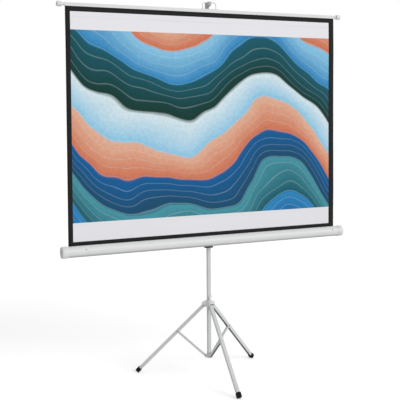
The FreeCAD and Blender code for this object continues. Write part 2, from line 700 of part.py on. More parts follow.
def make_hub():
    """The pressed hub that slides on the pole, with three arms for the legs and a tongue in front."""
    hub = body("hub_body")
    tall = f"({S.hub_drop} + {S.hub_roof})"
    middle = f"(({S.hub_roof} - {S.hub_drop}) / 2)"
    ring = [{"at": ("0", "0"), "radius": S.hub_radius}]
    pad(hub, "hub_ring", "XY_Plane", ring, tall, middle)
    front = body("tongue_body")
    tongue_long = f"({S.tongue_tall} + {S.overrun})"
    tongue_mid = f"({S.hub_roof} + {S.tongue_tall} - {tongue_long} / 2)"
    tongue_x = f"({TONGUE_FACE} - {S.tongue_thick} / 2)"
    tongue = [rectangle(S.tongue_thick, S.tongue_wide, tongue_x)]
    pad(front, "hub_tongue", "XY_Plane", tongue, tongue_long, tongue_mid)
    lug_y = f"({S.trigger_wide} / 2 + {S.slide_gap} + {S.lug_wall} / 2)"
    lug_out = f"({S.trigger_stand} + {S.trigger_thick} + {S.tongue_thick})"
    lug_x = f"({TONGUE_FACE} - {S.tongue_thick} + {lug_out} / 2)"
    lugs = [
        rectangle(lug_out, S.lug_wall, lug_x, lug_y),
        rectangle(lug_out, S.lug_wall, lug_x, f"-{lug_y}"),
    ]
    pad(front, "hub_lugs", "XY_Plane", lugs, S.lug_tall, TRIGGER_Z)
    pin_hole = [{"at": (TRIGGER_X, TRIGGER_Z), "radius": f"{S.trigger_pin} + {S.turn_gap}"}]
    pocket(front, "hub_pin_hole", "XZ_Plane", pin_hole, f"2 * {S.tongue_wide}")
    level = f"({S.roof_slack} + {S.roof_wall})"
    tip = f"({S.hub_reach} + {S.arm_reach})"
    start = f"({S.hub_radius} - {S.overrun})"
    side = [
        (start, f"-{S.hub_drop}"),
        (tip, f"-{S.hub_drop}"),
        (tip, f"{level} - {S.arm_reach} + {S.arm_flat}"),
        (f"{S.hub_reach} + {S.arm_flat}", level),
        (start, S.hub_roof),
    ]
    arm = pad(hub, "hub_arm", "XZ_Plane", [side], f"2 * {ARM_HALF}")
    room = [
        (S.arm_start, f"-{S.hub_drop} - {S.overrun}"),
        (f"{tip} + {S.overrun}", f"-{S.hub_drop} - {S.overrun}"),
        (f"{tip} + {S.overrun}", f"{S.roof_slack} - {S.arm_reach} + {S.arm_flat} - {S.overrun}"),
        (f"{S.hub_reach} + {S.arm_flat}", S.roof_slack),
        (S.arm_start, S.roof_slack),
    ]
    slot = pocket(hub, "hub_slot", "XZ_Plane", [room], f"({S.leg_wide} + 2 * {S.ear_gap})")
    bore = [{"at": (S.hub_reach, "0"), "radius": f"{S.rivet_radius} + {S.turn_gap}"}]
    hole = pocket(hub, "hub_holes", "XZ_Plane", bore, f"4 * {ARM_HALF}")
    around(hub, "hub_arms", [arm, slot, hole], len(LEG_NAMES))
    hub.Placement = radial(LEG_TURNS[0], 0, num(S.hub_rise))
    place = radial(-90, 0, num(S.hub_rise))
    front.Placement = place
    bore = pole_bore("hub_bore", f"{S.hub_rise} - 2 * {S.hub_drop}", f"4 * {tall}")
    keep("upper_hub", cut("upper_hub", joined("hub_solid", hub, front), bore))
    rivets = []
    for name, turn in zip(LEG_NAMES, LEG_TURNS):
        rivet = make_rivet(
            f"hub_rivet_{name}", S.rivet_radius, S.rivet_head, f"(2 * {ARM_HALF})", S.rivet_cap
        )
        rivet.Placement = radial(turn, num(S.hub_reach), num(S.hub_rise))
        rivets.append(rivet)
    keep("hub_rivets", group("hub_rivets", *rivets))
    pin_long = f"({S.trigger_wide} + 2 * {S.slide_gap} + 2 * {S.lug_wall})"
    pin = rod("trigger_pin", "y", (TRIGGER_X, f"-{pin_long} / 2", TRIGGER_Z), S.trigger_pin, pin_long)
    held = group("trigger_pin_set", pin)
    held.Placement = place
    keep("trigger_pin", held)
    trigger = body("hub_trigger")
    inside = f"({TRIGGER_X} - {S.trigger_thick} / 2)"
    outside = f"({TRIGGER_X} + {S.trigger_thick} / 2)"
    blade = [
        (inside, f"{TRIGGER_Z} + {S.trigger_head}"),
        (inside, f"{TRIGGER_Z} - {S.trigger_tail}"),
        (f"{outside} + {S.trigger_thick}", f"{TRIGGER_Z} - {S.trigger_tail}"),
        (outside, f"{TRIGGER_Z} - {S.trigger_tail} / 2"),
        (outside, f"{TRIGGER_Z} + {S.trigger_head}"),
    ]
    pad(trigger, "trigger_blade", "XZ_Plane", [blade], S.trigger_wide)
    pocket(trigger, "trigger_bore", "XZ_Plane", pin_hole, f"2 * {S.trigger_wide}")
    trigger.Placement = place
    keep("hub_trigger", trigger)


def make_spider():
    """The fixed lower spider: a stem in the pole's end, a pair of ears and two stub rivets for each strut."""
    spider = body("spider_body")
    above = f"({S.pole_foot} - {S.spider_rise})"
    core = [{"at": ("0", "0"), "radius": S.spider_core}]
    core_mid = f"(({above} - {S.spider_drop}) / 2)"
    pad(spider, "spider_core", "XY_Plane", core, f"({S.spider_drop} + {above})", core_mid)
    gap = f"({S.strut_wide} / 2 + {S.ear_gap})"
    reach = f"({S.spider_reach} + {S.spider_lip} - {S.spider_start})"
    ear_x = f"({S.spider_start} + {reach} / 2)"
    ear_y = f"({gap} + {S.ear_wall} / 2)"
    ears = [
        rectangle(reach, S.ear_wall, ear_x, ear_y),
        rectangle(reach, S.ear_wall, ear_x, f"-{ear_y}"),
    ]
    pair = pad(spider, "spider_ears", "XY_Plane", ears, f"2 * {S.spider_ear}")
    bore = [{"at": (S.spider_reach, "0"), "radius": f"{S.strut_rivet} + {S.slide_gap}"}]
    hole = pocket(spider, "spider_holes", "XZ_Plane", bore, f"4 * {S.strut_wide}")
    around(spider, "spider_arms", [pair, hole], len(LEG_NAMES))
    spider.Placement = radial(LEG_TURNS[0], 0, num(S.spider_rise))
    half = f"({TUBE_BORE} / 2)"
    stem_low = f"({S.pole_foot} - {S.overrun})"
    stem_tall = f"({S.spider_stem} + {S.overrun})"
    stem = box("spider_stem", (f"-{half}", f"-{half}", stem_low), (TUBE_BORE, TUBE_BORE, stem_tall))
    screw_hole = rod(
        "spider_screw_hole", "y", ("0", f"-{S.pole_side}", SCREW_Z),
        f"{S.spider_screw} + {S.slide_gap}", f"2 * {S.pole_side}",
    )
    keep("lower_spider", cut("lower_spider", joined("spider_solid", spider, stem), screw_hole))
    rivets = []
    for name, turn in zip(LEG_NAMES, LEG_TURNS):
        for side in (-1, 1):
            label = f"spider_rivet_{name}_{'near' if side < 0 else 'far'}"
            out = f"({gap} + {S.ear_wall})"
            start = gap if side > 0 else f"-{out}"
            head = out if side > 0 else f"-{out} - {S.stub_cap}"
            shank = rod(label + "_shank", "y", ("0", start, "0"), S.strut_rivet, S.ear_wall)
            cap = rod(label + "_cap", "y", ("0", head, "0"), S.stub_head, S.stub_cap)
            stub = joined(label, shank, cap)
            stub.Placement = radial(turn, num(S.spider_reach), num(S.spider_rise))
            rivets.append(stub)
    keep("spider_rivets", group("spider_rivets", *rivets))
    out = f"({S.pole_side} / 2)"
    across = rod("spider_screw_shank", "y", ("0", f"-{out}", SCREW_Z), S.spider_screw, S.pole_side)
    front = rod(
        "spider_screw_front", "y", ("0", f"-{out} - {S.screw_cap}", SCREW_Z), S.screw_head, S.screw_cap
    )
    back = rod("spider_screw_back", "y", ("0", out, SCREW_Z), S.screw_head, S.screw_cap)
    keep("spider_screw", joined("spider_screw", across, front, back))


# The slider, saddle and height knob


def make_slider():
    """The moulded slider on the pole, with a boss for the knob and a recess for the case pivot."""
    slider = body("case_slider")
    back = f"({SLIDER_IN} + {S.slider_back})"
    deep = f"({SLIDER_FACE} + {back})"
    middle = f"(({back} - {SLIDER_FACE}) / 2)"
    low = f"({CASE_Z} - {S.slider_below})"
    high = f"({low} + {S.slider_tall})"
    half = f"({S.slider_wide} / 2)"
    narrow = f"({S.slider_narrow} / 2)"
    outline = [
        (f"-{narrow}", low),
        (narrow, low),
        (half, f"{CASE_Z}"),
        (half, f"{high} - {S.slider_bevel}"),
        (f"{half} - {S.slider_bevel}", high),
        (f"-{half} + {S.slider_bevel}", high),
        (f"-{half}", f"{high} - {S.slider_bevel}"),
        (f"-{half}", f"{CASE_Z}"),
    ]
    pad(slider, "slider_block", "XZ_Plane", [outline], deep, middle)
    face = num(SLIDER_FACE)
    rear = num(back)

    def rim(edge):
        ys = [v.Y for v in edge.Vertexes]
        return all(abs(y - rear) < TINY for y in ys) or all(abs(y + face) < TINY for y in ys)

    soften(slider, "slider_edges", S.slider_round, rim)
    boss_z = f"({CASE_Z} - {S.boss_drop})"
    boss = [{"at": ("0", boss_z), "radius": S.boss_radius}]
    boss_long = f"({S.boss_long} + {S.overrun})"
    boss_mid = f"({back} + {S.boss_long} - {boss_long} / 2)"
    pad(slider, "slider_boss", "XZ_Plane", boss, boss_long, boss_mid)
    square = [rectangle(HUB_BORE, HUB_BORE)]
    pocket(slider, "slider_bore", "XY_Plane", square, f"3 * {S.slider_tall}", CASE_Z)
    screw = [{"at": ("0", boss_z), "radius": f"{S.knob_screw} + {S.slide_gap}"}]
    screw_long = f"({S.slider_back} + {S.boss_long} + 2 * {S.overrun})"
    screw_mid = f"({SLIDER_IN} - {S.overrun} + {screw_long} / 2)"
    pocket(slider, "slider_screw_hole", "XZ_Plane", screw, screw_long, screw_mid)
    pivot = [{"at": ("0", CASE_Z), "radius": f"{S.pivot_radius} + {S.turn_gap}"}]
    pivot_long = f"(2 * {S.slider_front})"
    front_mid = f"(-{SLIDER_IN} - {S.slider_front} / 2)"
    pocket(slider, "slider_pivot_hole", "XZ_Plane", pivot, pivot_long, front_mid)
    seat = [{"at": ("0", CASE_Z), "radius": f"{S.pivot_head} + {S.slide_gap}"}]
    seat_deep = f"({S.pivot_cap} + 2 * {S.slide_gap})"
    pocket(slider, "slider_pivot_seat", "XZ_Plane", seat, f"2 * {seat_deep}", f"(-{SLIDER_IN})")
    keep("case_slider", slider)
    make_saddle()
    make_height_knob(back, boss_z)


def make_saddle():
    """The saddle that the round case lies in, its pivot and the screws that hold the case to it."""
    block = box(
        "saddle_block",
        (f"-{S.saddle_wide} / 2", f"-{CASE_BACK} - {S.case_radius} / 3", f"{CASE_Z} - {S.saddle_tall} / 2"),
        (S.saddle_wide, f"{S.saddle_thin} + {S.case_radius} / 3", S.saddle_tall),
    )
    case = rod(
        "saddle_hollow", "x", (f"-{S.saddle_wide}", CASE_Y, CASE_Z),
        f"{S.case_radius} + {S.slide_gap}", f"2 * {S.saddle_wide}",
    )
    front = f"(-{CASE_BACK})"
    shank = rod(
        "saddle_pivot_hole", "y", ("0", f"{front} - {S.overrun}", CASE_Z),
        f"{S.pivot_radius} + {S.slide_gap}", f"{S.saddle_thin} + 2 * {S.overrun}",
    )
    sink = f"({S.pivot_cap} + {S.slide_gap})"
    seat = rod(
        "saddle_pivot_seat", "y", ("0", f"{front} - {S.case_radius}", CASE_Z),
        f"{S.pivot_head} + {S.slide_gap}", f"{S.case_radius} + {sink}",
    )
    tools = [case, shank, seat]
    screws = []
    for side in (-1, 1):
        label = "saddle_screw_" + ("left" if side < 0 else "right")
        x = f"({side} * {S.saddle_screw_set})"
        inside = f"({CASE_Y} + {S.case_radius} - {S.case_wall})"
        bite = f"({S.case_wall} + {S.slide_gap} + {S.saddle_thin} - {S.slide_gap})"
        hole = rod(
            label + "_hole", "y", (x, f"{front} - {S.overrun}", CASE_Z),
            f"{S.saddle_screw} + {S.slide_gap}", f"2 * {S.saddle_screw_bite}",
        )
        tools.append(hole)
        shaft = rod(label + "_shank", "y", (x, inside, CASE_Z), S.saddle_screw, bite)
        head = rod(
            label + "_head", "y", (x, f"{inside} - {S.saddle_screw_cap} - 2 * {S.slide_gap}", CASE_Z),
            S.saddle_screw_head, S.saddle_screw_cap,
        )
        neck = rod(
            label + "_neck", "y", (x, f"{inside} - 2 * {S.slide_gap} - {S.saddle_screw_cap} / 2", CASE_Z),
            S.saddle_screw, f"2 * {S.slide_gap} + {S.saddle_screw_cap}",
        )
        screws.append(joined(label, shaft, head, neck))
    keep("case_saddle", cut("case_saddle", block, *tools))
    keep("saddle_screws", group("saddle_screws", *screws))
    inner = f"(-{SLIDER_IN} - {S.slide_gap} - {S.pivot_cap})"
    outer = f"({front} + {S.slide_gap})"
    stem = rod("pivot_stem", "y", ("0", outer, CASE_Z), S.pivot_radius, f"{inner} - {outer} + {S.pivot_cap}")
    rear_head = rod("pivot_rear_head", "y", ("0", inner, CASE_Z), S.pivot_head, S.pivot_cap)
    front_tall = f"{S.pivot_cap} - {S.slide_gap}"
    front_head = rod("pivot_front_head", "y", ("0", outer, CASE_Z), S.pivot_head, front_tall)
    keep("case_pivot", joined("case_pivot", stem, rear_head, front_head))


def make_height_knob(back, height):
    """The scalloped knob behind the slider and the screw that presses on the pole."""
    knob = body("height_knob")
    stem_ring = [{"at": ("0", "0"), "radius": S.knob_stem}]
    pad(knob, "knob_stem", "XY_Plane", stem_ring, S.knob_neck, f"({S.knob_neck} / 2)")
    disc = [{"at": ("0", "0"), "radius": S.knob_wide}]
    disc_mid = f"({S.knob_neck} + {S.knob_thick} / 2)"
    pad(knob, "knob_disc", "XY_Plane", disc, S.knob_thick, disc_mid)
    rim = num(S.knob_wide)
    soften(knob, "knob_edge", S.knob_edge, lambda e: abs(getattr(e.Curve, "Radius", 0) - rim) < TINY)
    hollow = [{"at": (f"{S.knob_wide} + {S.scallop} / 2", "0"), "radius": S.scallop}]
    dent = pocket(knob, "knob_dent", "XY_Plane", hollow, f"4 * {S.knob_thick}")
    around(knob, "knob_dents", [dent], KNOB_DENTS)
    bore = [{"at": ("0", "0"), "radius": f"{S.knob_screw} + {S.slide_gap}"}]
    pocket(knob, "knob_bore", "XY_Plane", bore, f"2 * ({S.knob_neck} + {S.knob_thick} / 2)")
    start = f"({back} + {S.boss_long} + {S.slide_gap})"
    knob.Placement = Placement(Vector(0, num(start), num(height)), Rotation(Vector(1, 0, 0), -90))
    keep("height_knob", knob)
    first = f"({POLE_FACE} + {S.slide_gap})"
    last = f"({start} + {S.knob_neck} + {S.knob_thick} / 2 - {S.slide_gap})"
    keep("knob_screw", rod("knob_screw", "y", ("0", first, height), S.knob_screw, f"{last} - {first}"))


# The case and the spring roller


def case_rod(name, x, radius, near, far):
    """A cylinder square to the case's front, between two distances from the case's axis."""
    thing = doc.addObject("Part::Cylinder", name)
    turn = Rotation(Vector(1, 0, 0), 90 - num(S.case_screw_tilt))
    middle = Vector(num(x), num(CASE_Y), num(CASE_Z))
    thing.Placement = Placement(middle + turn.multVec(Vector(0, 0, num(near))), turn)
    return bind(thing, Radius=radius, Height=f"({far}) - ({near})")


def case_screw_x(side):
    """How far along the case a cap screw lies: side is -1 for the left one and 1 for the right one."""
    inset = S.case_screw_left if side < 0 else S.case_screw_right
    return f"({side} * ({CASE_END} - {inset}))"


def make_case():
    """The rolled steel shell, open along a slot where the cloth comes out."""
    start = (f"-{CASE_END}", CASE_Y, CASE_Z)
    outside = rod("shell_outside", "x", start, S.case_radius, CASE_LONG)
    hollow = rod(
        "shell_hollow", "x", (f"-{CASE_END} - {S.overrun}", CASE_Y, CASE_Z),
        f"{S.case_radius} - {S.case_wall}", f"{CASE_LONG} + 2 * {S.overrun}",
    )
    slot = box(
        "shell_slot", (f"-{CASE_END} - {S.overrun}", f"{CLOTH_Y} - {S.slot_wide} / 2", CASE_Z),
        (f"{CASE_LONG} + 2 * {S.overrun}", S.slot_wide, f"2 * {S.case_radius}"),
    )
    tools = [hollow, slot]
    screws = []
    for side in (-1, 1):
        label = "case_screw_" + ("left" if side < 0 else "right")
        x = case_screw_x(side)
        seat = f"({S.case_radius} + {S.slide_gap})"
        inner = f"({S.case_radius} - {S.case_screw_bite})"
        tools.append(case_screw_hole(label + "_hole", x))
        head = case_rod(label + "_head", x, S.case_screw_head, seat, f"{seat} + {S.case_screw_cap}")
        shank = case_rod(label + "_shank", x, S.case_screw, inner, seat)
        screws.append(joined(label, head, shank))
    for side in (-1, 1):
        label = "shell_saddle_hole_" + ("left" if side < 0 else "right")
        x = f"({side} * {S.saddle_screw_set})"
        tools.append(
            rod(
                label, "y", (x, f"{CASE_Y} + {S.case_radius} / 2", CASE_Z),
                f"{S.saddle_screw} + {S.slide_gap}", S.case_radius,
            )
        )
    keep("case_shell", cut("case_shell", outside, *tools))
    keep("case_screws", group("case_screws", *screws))


def case_screw_hole(name, x):
    """The hole for a cap screw through the shell and the cap's sleeve."""
    radius = f"({S.case_screw} + {S.slide_gap})"
    return case_rod(
        name, x, radius, f"{S.case_radius} - 2 * {S.case_screw_bite}", f"{S.case_radius} + {S.overrun}"
    )


def make_end_cap(name, side):
    """A moulded cap: a barrel-shaped end, a sleeve inside the shell and a boss for the roller's pin."""
    node = f"end_cap_{name}"
    cap = body(node + "_body")
    lap = f"(-{S.cap_lap})"
    inside = f"({S.case_radius} + {S.slide_gap})"
    rim = S.cap_rim
    sleeve = f"({S.case_radius} - {S.case_wall} - {S.slide_gap})"
    bore = f"({sleeve} - {S.sleeve_wall})"
    end = S.cap_long
    floor = f"({S.cap_long} - {S.cap_wall})"
    boss_low = f"({ROLLER_END} + {S.flange_wall} + {S.boss_wall} - {CASE_END})"
    profile = [
        (S.hub_boss, floor),
        (bore, floor),
        (bore, f"-{S.sleeve_long}"),
        (sleeve, f"-{S.sleeve_long}"),
        (sleeve, S.slide_gap),
        (inside, S.slide_gap),
        (inside, lap),
        (rim, lap),
        (S.cap_radius, f"{S.cap_long} / 3"),
        (S.cap_radius, f"{S.cap_long} * 2 / 3"),
        (rim, end),
        ("0", end),
        ("0", boss_low),
        (S.hub_boss, boss_low),
    ]
    revolved(cap, node + "_shape", profile)
    outer = num(rim)

    def corner(edge):
        wide = abs(getattr(edge.Curve, "Radius", 0) - outer) < TINY
        return wide and abs(edge.Vertexes[0].Z - num(end)) < TINY

    soften(cap, node + "_dome", S.cap_dome, corner)
    hole = [{"at": ("0", "0"), "radius": f"{S.pin_radius} + {S.slide_gap}"}]
    deep = f"({S.pin_in} + {S.slide_gap})"
    pocket(cap, node + "_pin_hole", "XY_Plane", hole, f"2 * {deep}", boss_low)
    cap.Placement = Placement(
        Vector(side * num(CASE_END), num(CASE_Y), num(CASE_Z)), Rotation(Vector(0, 1, 0), side * 90)
    )
    screw = case_screw_hole(node + "_screw_hole", case_screw_x(side))
    sleeve_start = f"({CASE_END} - {S.sleeve_long} - {S.overrun})"
    cloth_side = f"({CLOTH_WIDE} / 2 + {S.overrun})"
    slot_x = sleeve_start if side > 0 else f"(-{cloth_side})"
    slot = box(
        node + "_slot", (slot_x, f"{CLOTH_Y} - {S.slot_wide} / 2", CASE_Z),
        (f"{cloth_side} - {sleeve_start}", S.slot_wide, S.case_radius),
    )
    keep(node, cut(node, cap, screw, slot))


def make_roller():
    """The roller tube, its plugs, pins and spring, and the cloth that stays wound on it."""
    long = f"(2 * {ROLLER_END})"
    start = (f"-{ROLLER_END}", CASE_Y, CASE_Z)
    tube = rod("roller_outside", "x", start, S.roller_radius, long)
    inside = f"({S.roller_radius} - {S.roller_wall})"
    hollow = rod(
        "roller_hollow", "x", (f"-{ROLLER_END} - {S.overrun}", CASE_Y, CASE_Z),
        inside, f"{long} + 2 * {S.overrun}",
    )
    keep("roller_tube", cut("roller_tube", tube, hollow))
    roll = rod("wound_outside", "x", (f"-{CLOTH_WIDE} / 2", CASE_Y, CASE_Z), WOUND, CLOTH_WIDE)
    core = rod(
        "wound_core", "x", (f"-{CLOTH_WIDE} / 2 - {S.overrun}", CASE_Y, CASE_Z),
        f"{S.roller_radius} + {S.slide_gap}", f"{CLOTH_WIDE} + 2 * {S.overrun}",
    )
    keep("wound_cloth", cut("wound_cloth", roll, core))
    for name, side in (("left", -1), ("right", 1)):
        node = f"roller_plug_{name}"
        inner = f"({ROLLER_END} - {S.plug_long})"
        flange_x = ROLLER_END if side > 0 else f"(-{ROLLER_END} - {S.flange_wall})"
        stem_x = inner if side > 0 else f"-{ROLLER_END}"
        flange = rod(node + "_flange", "x", (flange_x, CASE_Y, CASE_Z), S.roller_radius, S.flange_wall)
        stem = rod(
            node + "_stem", "x", (stem_x, CASE_Y, CASE_Z), f"{inside} - {S.slide_gap}", S.plug_long
        )
        hole = rod(
            node + "_hole", "x", (f"{stem_x} - {S.plug_long}", CASE_Y, CASE_Z),
            f"{S.pin_radius} + {S.turn_gap}", f"4 * {S.plug_long}",
        )
        keep(node, cut(node, joined(node + "_solid", flange, stem), hole))
    boss = f"({ROLLER_END} + {S.flange_wall} + {S.boss_wall})"
    pin_out = f"({boss} + {S.pin_in})"
    pin_long = f"({pin_out} - {ROLLER_END} + {S.plug_long})"
    keep("roller_pin", rod("roller_pin", "x", (f"-{pin_out}", CASE_Y, CASE_Z), S.pin_radius, pin_long))
    shaft_in = f"({ROLLER_END} - {S.shaft_long})"
    keep(
        "spring_shaft",
        rod("spring_shaft", "x", (shaft_in, CASE_Y, CASE_Z), S.pin_radius, f"{pin_out} - {shaft_in}"),
    )
    ring = f"({S.pin_radius} + {S.slide_gap})"
    anchor = rod(
        "anchor_outside", "x", (f"{shaft_in} - {S.anchor_long} / 2", CASE_Y, CASE_Z),
        f"{inside} - 2 * {S.slide_gap}", S.anchor_long,
    )
    anchor_hole = rod(
        "anchor_hole", "x", (shaft_in, CASE_Y, CASE_Z), ring, f"{S.anchor_long} + {S.overrun}"
    )
    keep("spring_anchor", cut("spring_anchor", anchor, anchor_hole))
    spring_start = f"({shaft_in} + {S.anchor_long} / 2 + {S.slide_gap})"
    spring_long = f"({ROLLER_END} - {S.plug_long} - {S.slide_gap} - {spring_start})"
    coil = rod(
        "spring_outside", "x", (spring_start, CASE_Y, CASE_Z), S.spring_radius, spring_long
    )
    core = rod(
        "spring_core", "x", (f"{spring_start} - {S.overrun}", CASE_Y, CASE_Z),
        f"{S.spring_radius} - {S.spring_wire}", f"{spring_long} + 2 * {S.overrun}",
    )
    keep("torsion_spring", cut("torsion_spring", coil, core))


# The cloth, the top bar and the hanger


def make_sheet():
    """The cloth between the roller and the top bar, flat under its own pull."""
    low = (f"-{CLOTH_WIDE} / 2", f"{CLOTH_Y} - {S.cloth_thick} / 2", CASE_Z)
    top = f"({BAR_LOW} + {S.bar_wall})"
    size = (CLOTH_WIDE, S.cloth_thick, f"{top} - {CASE_Z}")
    keep("screen_cloth", box("screen_cloth", low, size))


def make_top_bar():
    """The hollow bar at the top of the cloth, the rod in the cloth's hem and the end knobs."""
    bar = body("top_bar")
    middle_z = f"({BAR_LOW} + {S.bar_tall} / 2)"
    outline = [rectangle(S.bar_deep, S.bar_tall, CLOTH_Y, middle_z)]
    long = f"(2 * {BAR_END})"
    pad(bar, "bar_section", "YZ_Plane", outline, long)

    def lengthwise(edge):
        ends = [v.Point for v in edge.Vertexes]
        return len(ends) == 2 and abs(ends[0].x - ends[1].x) > num(S.bar_tall)

    soften(bar, "bar_edges", S.bar_round, lengthwise)
    inside = rectangle(
        f"({S.bar_deep} - 2 * {S.bar_wall})", f"({S.bar_tall} - 2 * {S.bar_wall})", CLOTH_Y, middle_z
    )
    pocket(bar, "bar_hollow", "YZ_Plane", [inside], f"2 * {long}")
    slit = rectangle(S.bar_slot, f"(4 * {S.bar_wall})", CLOTH_Y, BAR_LOW)
    pocket(bar, "bar_slit", "YZ_Plane", [slit], f"2 * {long}")
    holes = []
    for side in (-1, 1):
        x = f"({side} * ({S.strip_long} / 2 - {S.strip_screw_in}))"
        holes.append({"at": (x, CLOTH_Y), "radius": f"{S.strip_screw} + {S.slide_gap}"})
    pocket(bar, "bar_screw_holes", "XY_Plane", holes, f"4 * {S.bar_wall}", BAR_HIGH)
    keep("top_bar", bar)
    rod_z = f"({BAR_LOW} + {S.bar_wall} + {S.slide_gap} + {S.hem_radius})"
    start = (f"-{CLOTH_WIDE} / 2 + {S.tip_stem_long}", CLOTH_Y, rod_z)
    hem_long = f"({CLOTH_WIDE} - 2 * {S.tip_stem_long})"
    keep("hem_rod", rod("hem_rod", "x", start, S.hem_radius, hem_long))
    for name, side in (("left", -1), ("right", 1)):
        node = f"bar_knob_{name}"
        knob = body(node)
        end = f"({S.tip_neck_long} + {S.tip_long})"
        profile = [
            ("0", f"-{S.tip_stem_long} + 2 * {S.slide_gap}"),
            (S.tip_stem, f"-{S.tip_stem_long} + 2 * {S.slide_gap}"),
            (S.tip_stem, "0"),
            (S.tip_neck, "0"),
            (S.tip_neck, S.tip_neck_long),
            (S.tip_radius, S.tip_neck_long),
            (S.tip_radius, end),
            ("0", end),
        ]
        revolved(knob, node + "_shape", profile)
        rim = num(S.tip_radius)
        soften(
            knob, node + "_edges", S.tip_round,
            lambda e: abs(getattr(e.Curve, "Radius", 0) - rim) < TINY and len(e.Vertexes) == 1,
        )
        knob.Placement = Placement(
            Vector(side * num(BAR_END), num(CLOTH_Y), num(middle_z)),
            Rotation(Vector(0, 1, 0), side * 90),
        )
        keep(node, knob)


def make_hanger():
    """The wire loop on the bar, the strip that holds it and the strip's screws."""
    half = f"({S.bail_wide} / 2)"
    foot = f"({BAR_HIGH} + {S.strip_thick})"
    bend_z = f"({WIRE_Z} - {S.bail_bend})"
    pieces = []
    for name, side in (("left", -1), ("right", 1)):
        leg_low = f"({BAR_HIGH} + {S.slide_gap})"
        leg_x = f"({side} * {half})"
        pieces.append(
            rod(f"bail_leg_{name}", "z", (leg_x, CLOTH_Y, leg_low), S.bail_wire, f"{bend_z} - {leg_low}")
        )
        bend = doc.addObject("Part::Torus", f"bail_bend_{name}")
        bend.Angle3 = 90
        upright = Rotation(Vector(1, 0, 0), 90)
        quarter = Rotation(Vector(0, 0, 1), 0 if side > 0 else 90)
        bend.Placement = Placement(Vector(), upright.multiply(quarter))
        bind(
            bend, Radius1=S.bail_bend, Radius2=S.bail_wire,
            x=f"{side} * ({half} - {S.bail_bend})", y=CLOTH_Y, z=bend_z,
        )
        pieces.append(bend)
    across = f"({S.bail_wide} - 2 * {S.bail_bend})"
    pieces.append(rod("bail_top", "x", (f"-{across} / 2", CLOTH_Y, WIRE_Z), S.bail_wire, across))
    keep("hanger_loop", joined("hanger_loop", *pieces))
    low = (f"-{S.strip_long} / 2", f"{CLOTH_Y} - {S.strip_deep} / 2", BAR_HIGH)
    strip = box("strip_plate", low, (S.strip_long, S.strip_deep, S.strip_thick))
    tools = []
    screws = []
    for name, side in (("left", -1), ("right", 1)):
        leg_x = f"({side} * {half})"
        tools.append(
            rod(
                f"strip_hole_{name}", "z", (leg_x, CLOTH_Y, f"{BAR_HIGH} - {S.overrun}"),
                f"{S.bail_wire} + {S.slide_gap}", f"4 * {S.overrun}",
            )
        )
        x = f"({side} * ({S.strip_long} / 2 - {S.strip_screw_in}))"
        tools.append(
            rod(
                f"strip_screw_hole_{name}", "z", (x, CLOTH_Y, f"{BAR_HIGH} - {S.overrun}"),
                f"{S.strip_screw} + {S.slide_gap}", f"4 * {S.overrun}",
            )
        )
        shank_low = f"({BAR_HIGH} - 2 * {S.bar_wall})"
        shank = rod(
            f"strip_screw_shank_{name}", "z", (x, CLOTH_Y, shank_low), S.strip_screw,
            f"{foot} - {shank_low}",
        )
        head = rod(
            f"strip_screw_head_{name}", "z", (x, CLOTH_Y, foot), S.strip_screw_head, S.strip_screw_cap
        )
        screws.append(joined(f"strip_screw_{name}", shank, head))
    keep("hanger_strip", cut("hanger_strip", strip, *tools))
    keep("strip_screws", group("strip_screws", *screws))


def make_hook():
    """The moulded hook on the inner tube. Its horn reaches forward under the loop's wire."""
    hook = body("top_hook")
    front = f"({CLOTH_Y} - {S.hook_lip})"
    crown = f"({WIRE_Z} + {S.hook_crown})"
    base = INNER_TOP
    face = f"(-{S.hook_back})"
    outline = [
        (S.hook_back, base),
        (S.hook_back, f"{crown} - {S.hook_bevel}"),
        (f"{S.hook_back} - {S.hook_bevel}", crown),
        (f"{front} + {S.hook_bevel}", crown),
        (front, f"{crown} - {S.hook_bevel}"),
        (front, f"{WIRE_Z} - {S.hook_depth}"),
        (face, f"{WIRE_Z} - {S.hook_root}"),
        (face, base),
    ]
    pad(hook, "hook_horn", "YZ_Plane", [outline], S.hook_wide)
    stem = f"({S.inner_side} - 2 * {S.inner_wall} - 2 * {S.slide_gap})"
    stem_mid = f"({base} - {S.hook_stem} / 2)"
    pad(hook, "hook_stem", "XY_Plane", [rectangle(stem, stem)], S.hook_stem, stem_mid)
    room = f"({S.bail_wire} + {S.slide_gap})"
    pocket(
        hook, "hook_groove", "YZ_Plane",
        [{"at": (CLOTH_Y, WIRE_Z), "radius": room}], f"2 * {S.hook_wide}",
    )
    mouth = span(WIRE_Z, f"{crown} + {S.overrun}", f"{CLOTH_Y} - {room}", f"{CLOTH_Y} + {room}")
    pocket(hook, "hook_mouth", "YZ_Plane", [mouth], f"2 * {S.hook_wide}")
    keep("top_hook", hook)


def check_document():
    """Stops if a feature failed or a piece has no valid shape."""
    doc.recompute()
    for thing in doc.Objects:
        bad = [word for word in thing.State if word in ("Invalid", "Error")]
        if bad:
            raise RuntimeError(f"{thing.Name} ({thing.TypeId}) is {bad}")
    for node, thing in parts.items():
        shape = thing.Shape
        if shape.isNull() or not shape.isValid() or not shape.Solids:
            raise RuntimeError(f"{node} has no valid shape")


def export():
    """Writes each piece to its own file."""
    os.makedirs("parts", exist_ok=True)
    for node, thing in parts.items():
        thing.Shape.exportStep(f"parts/{node}.step")
    print(len(parts), "pieces,", sum(len(thing.Shape.Solids) for thing in parts.values()), "solids")


make_pole()
make_extension_lock()
make_hub()
make_spider()
for leg_name, leg_turn in zip(LEG_NAMES, LEG_TURNS):
    make_leg(leg_name, leg_turn)
    make_strut(leg_name, leg_turn)
    make_foot(leg_name, leg_turn)
make_slider()
make_case()
make_end_cap("left", -1)
make_end_cap("right", 1)
make_roller()
make_sheet()
make_top_bar()
make_hanger()
make_hook()
check_document()
export()
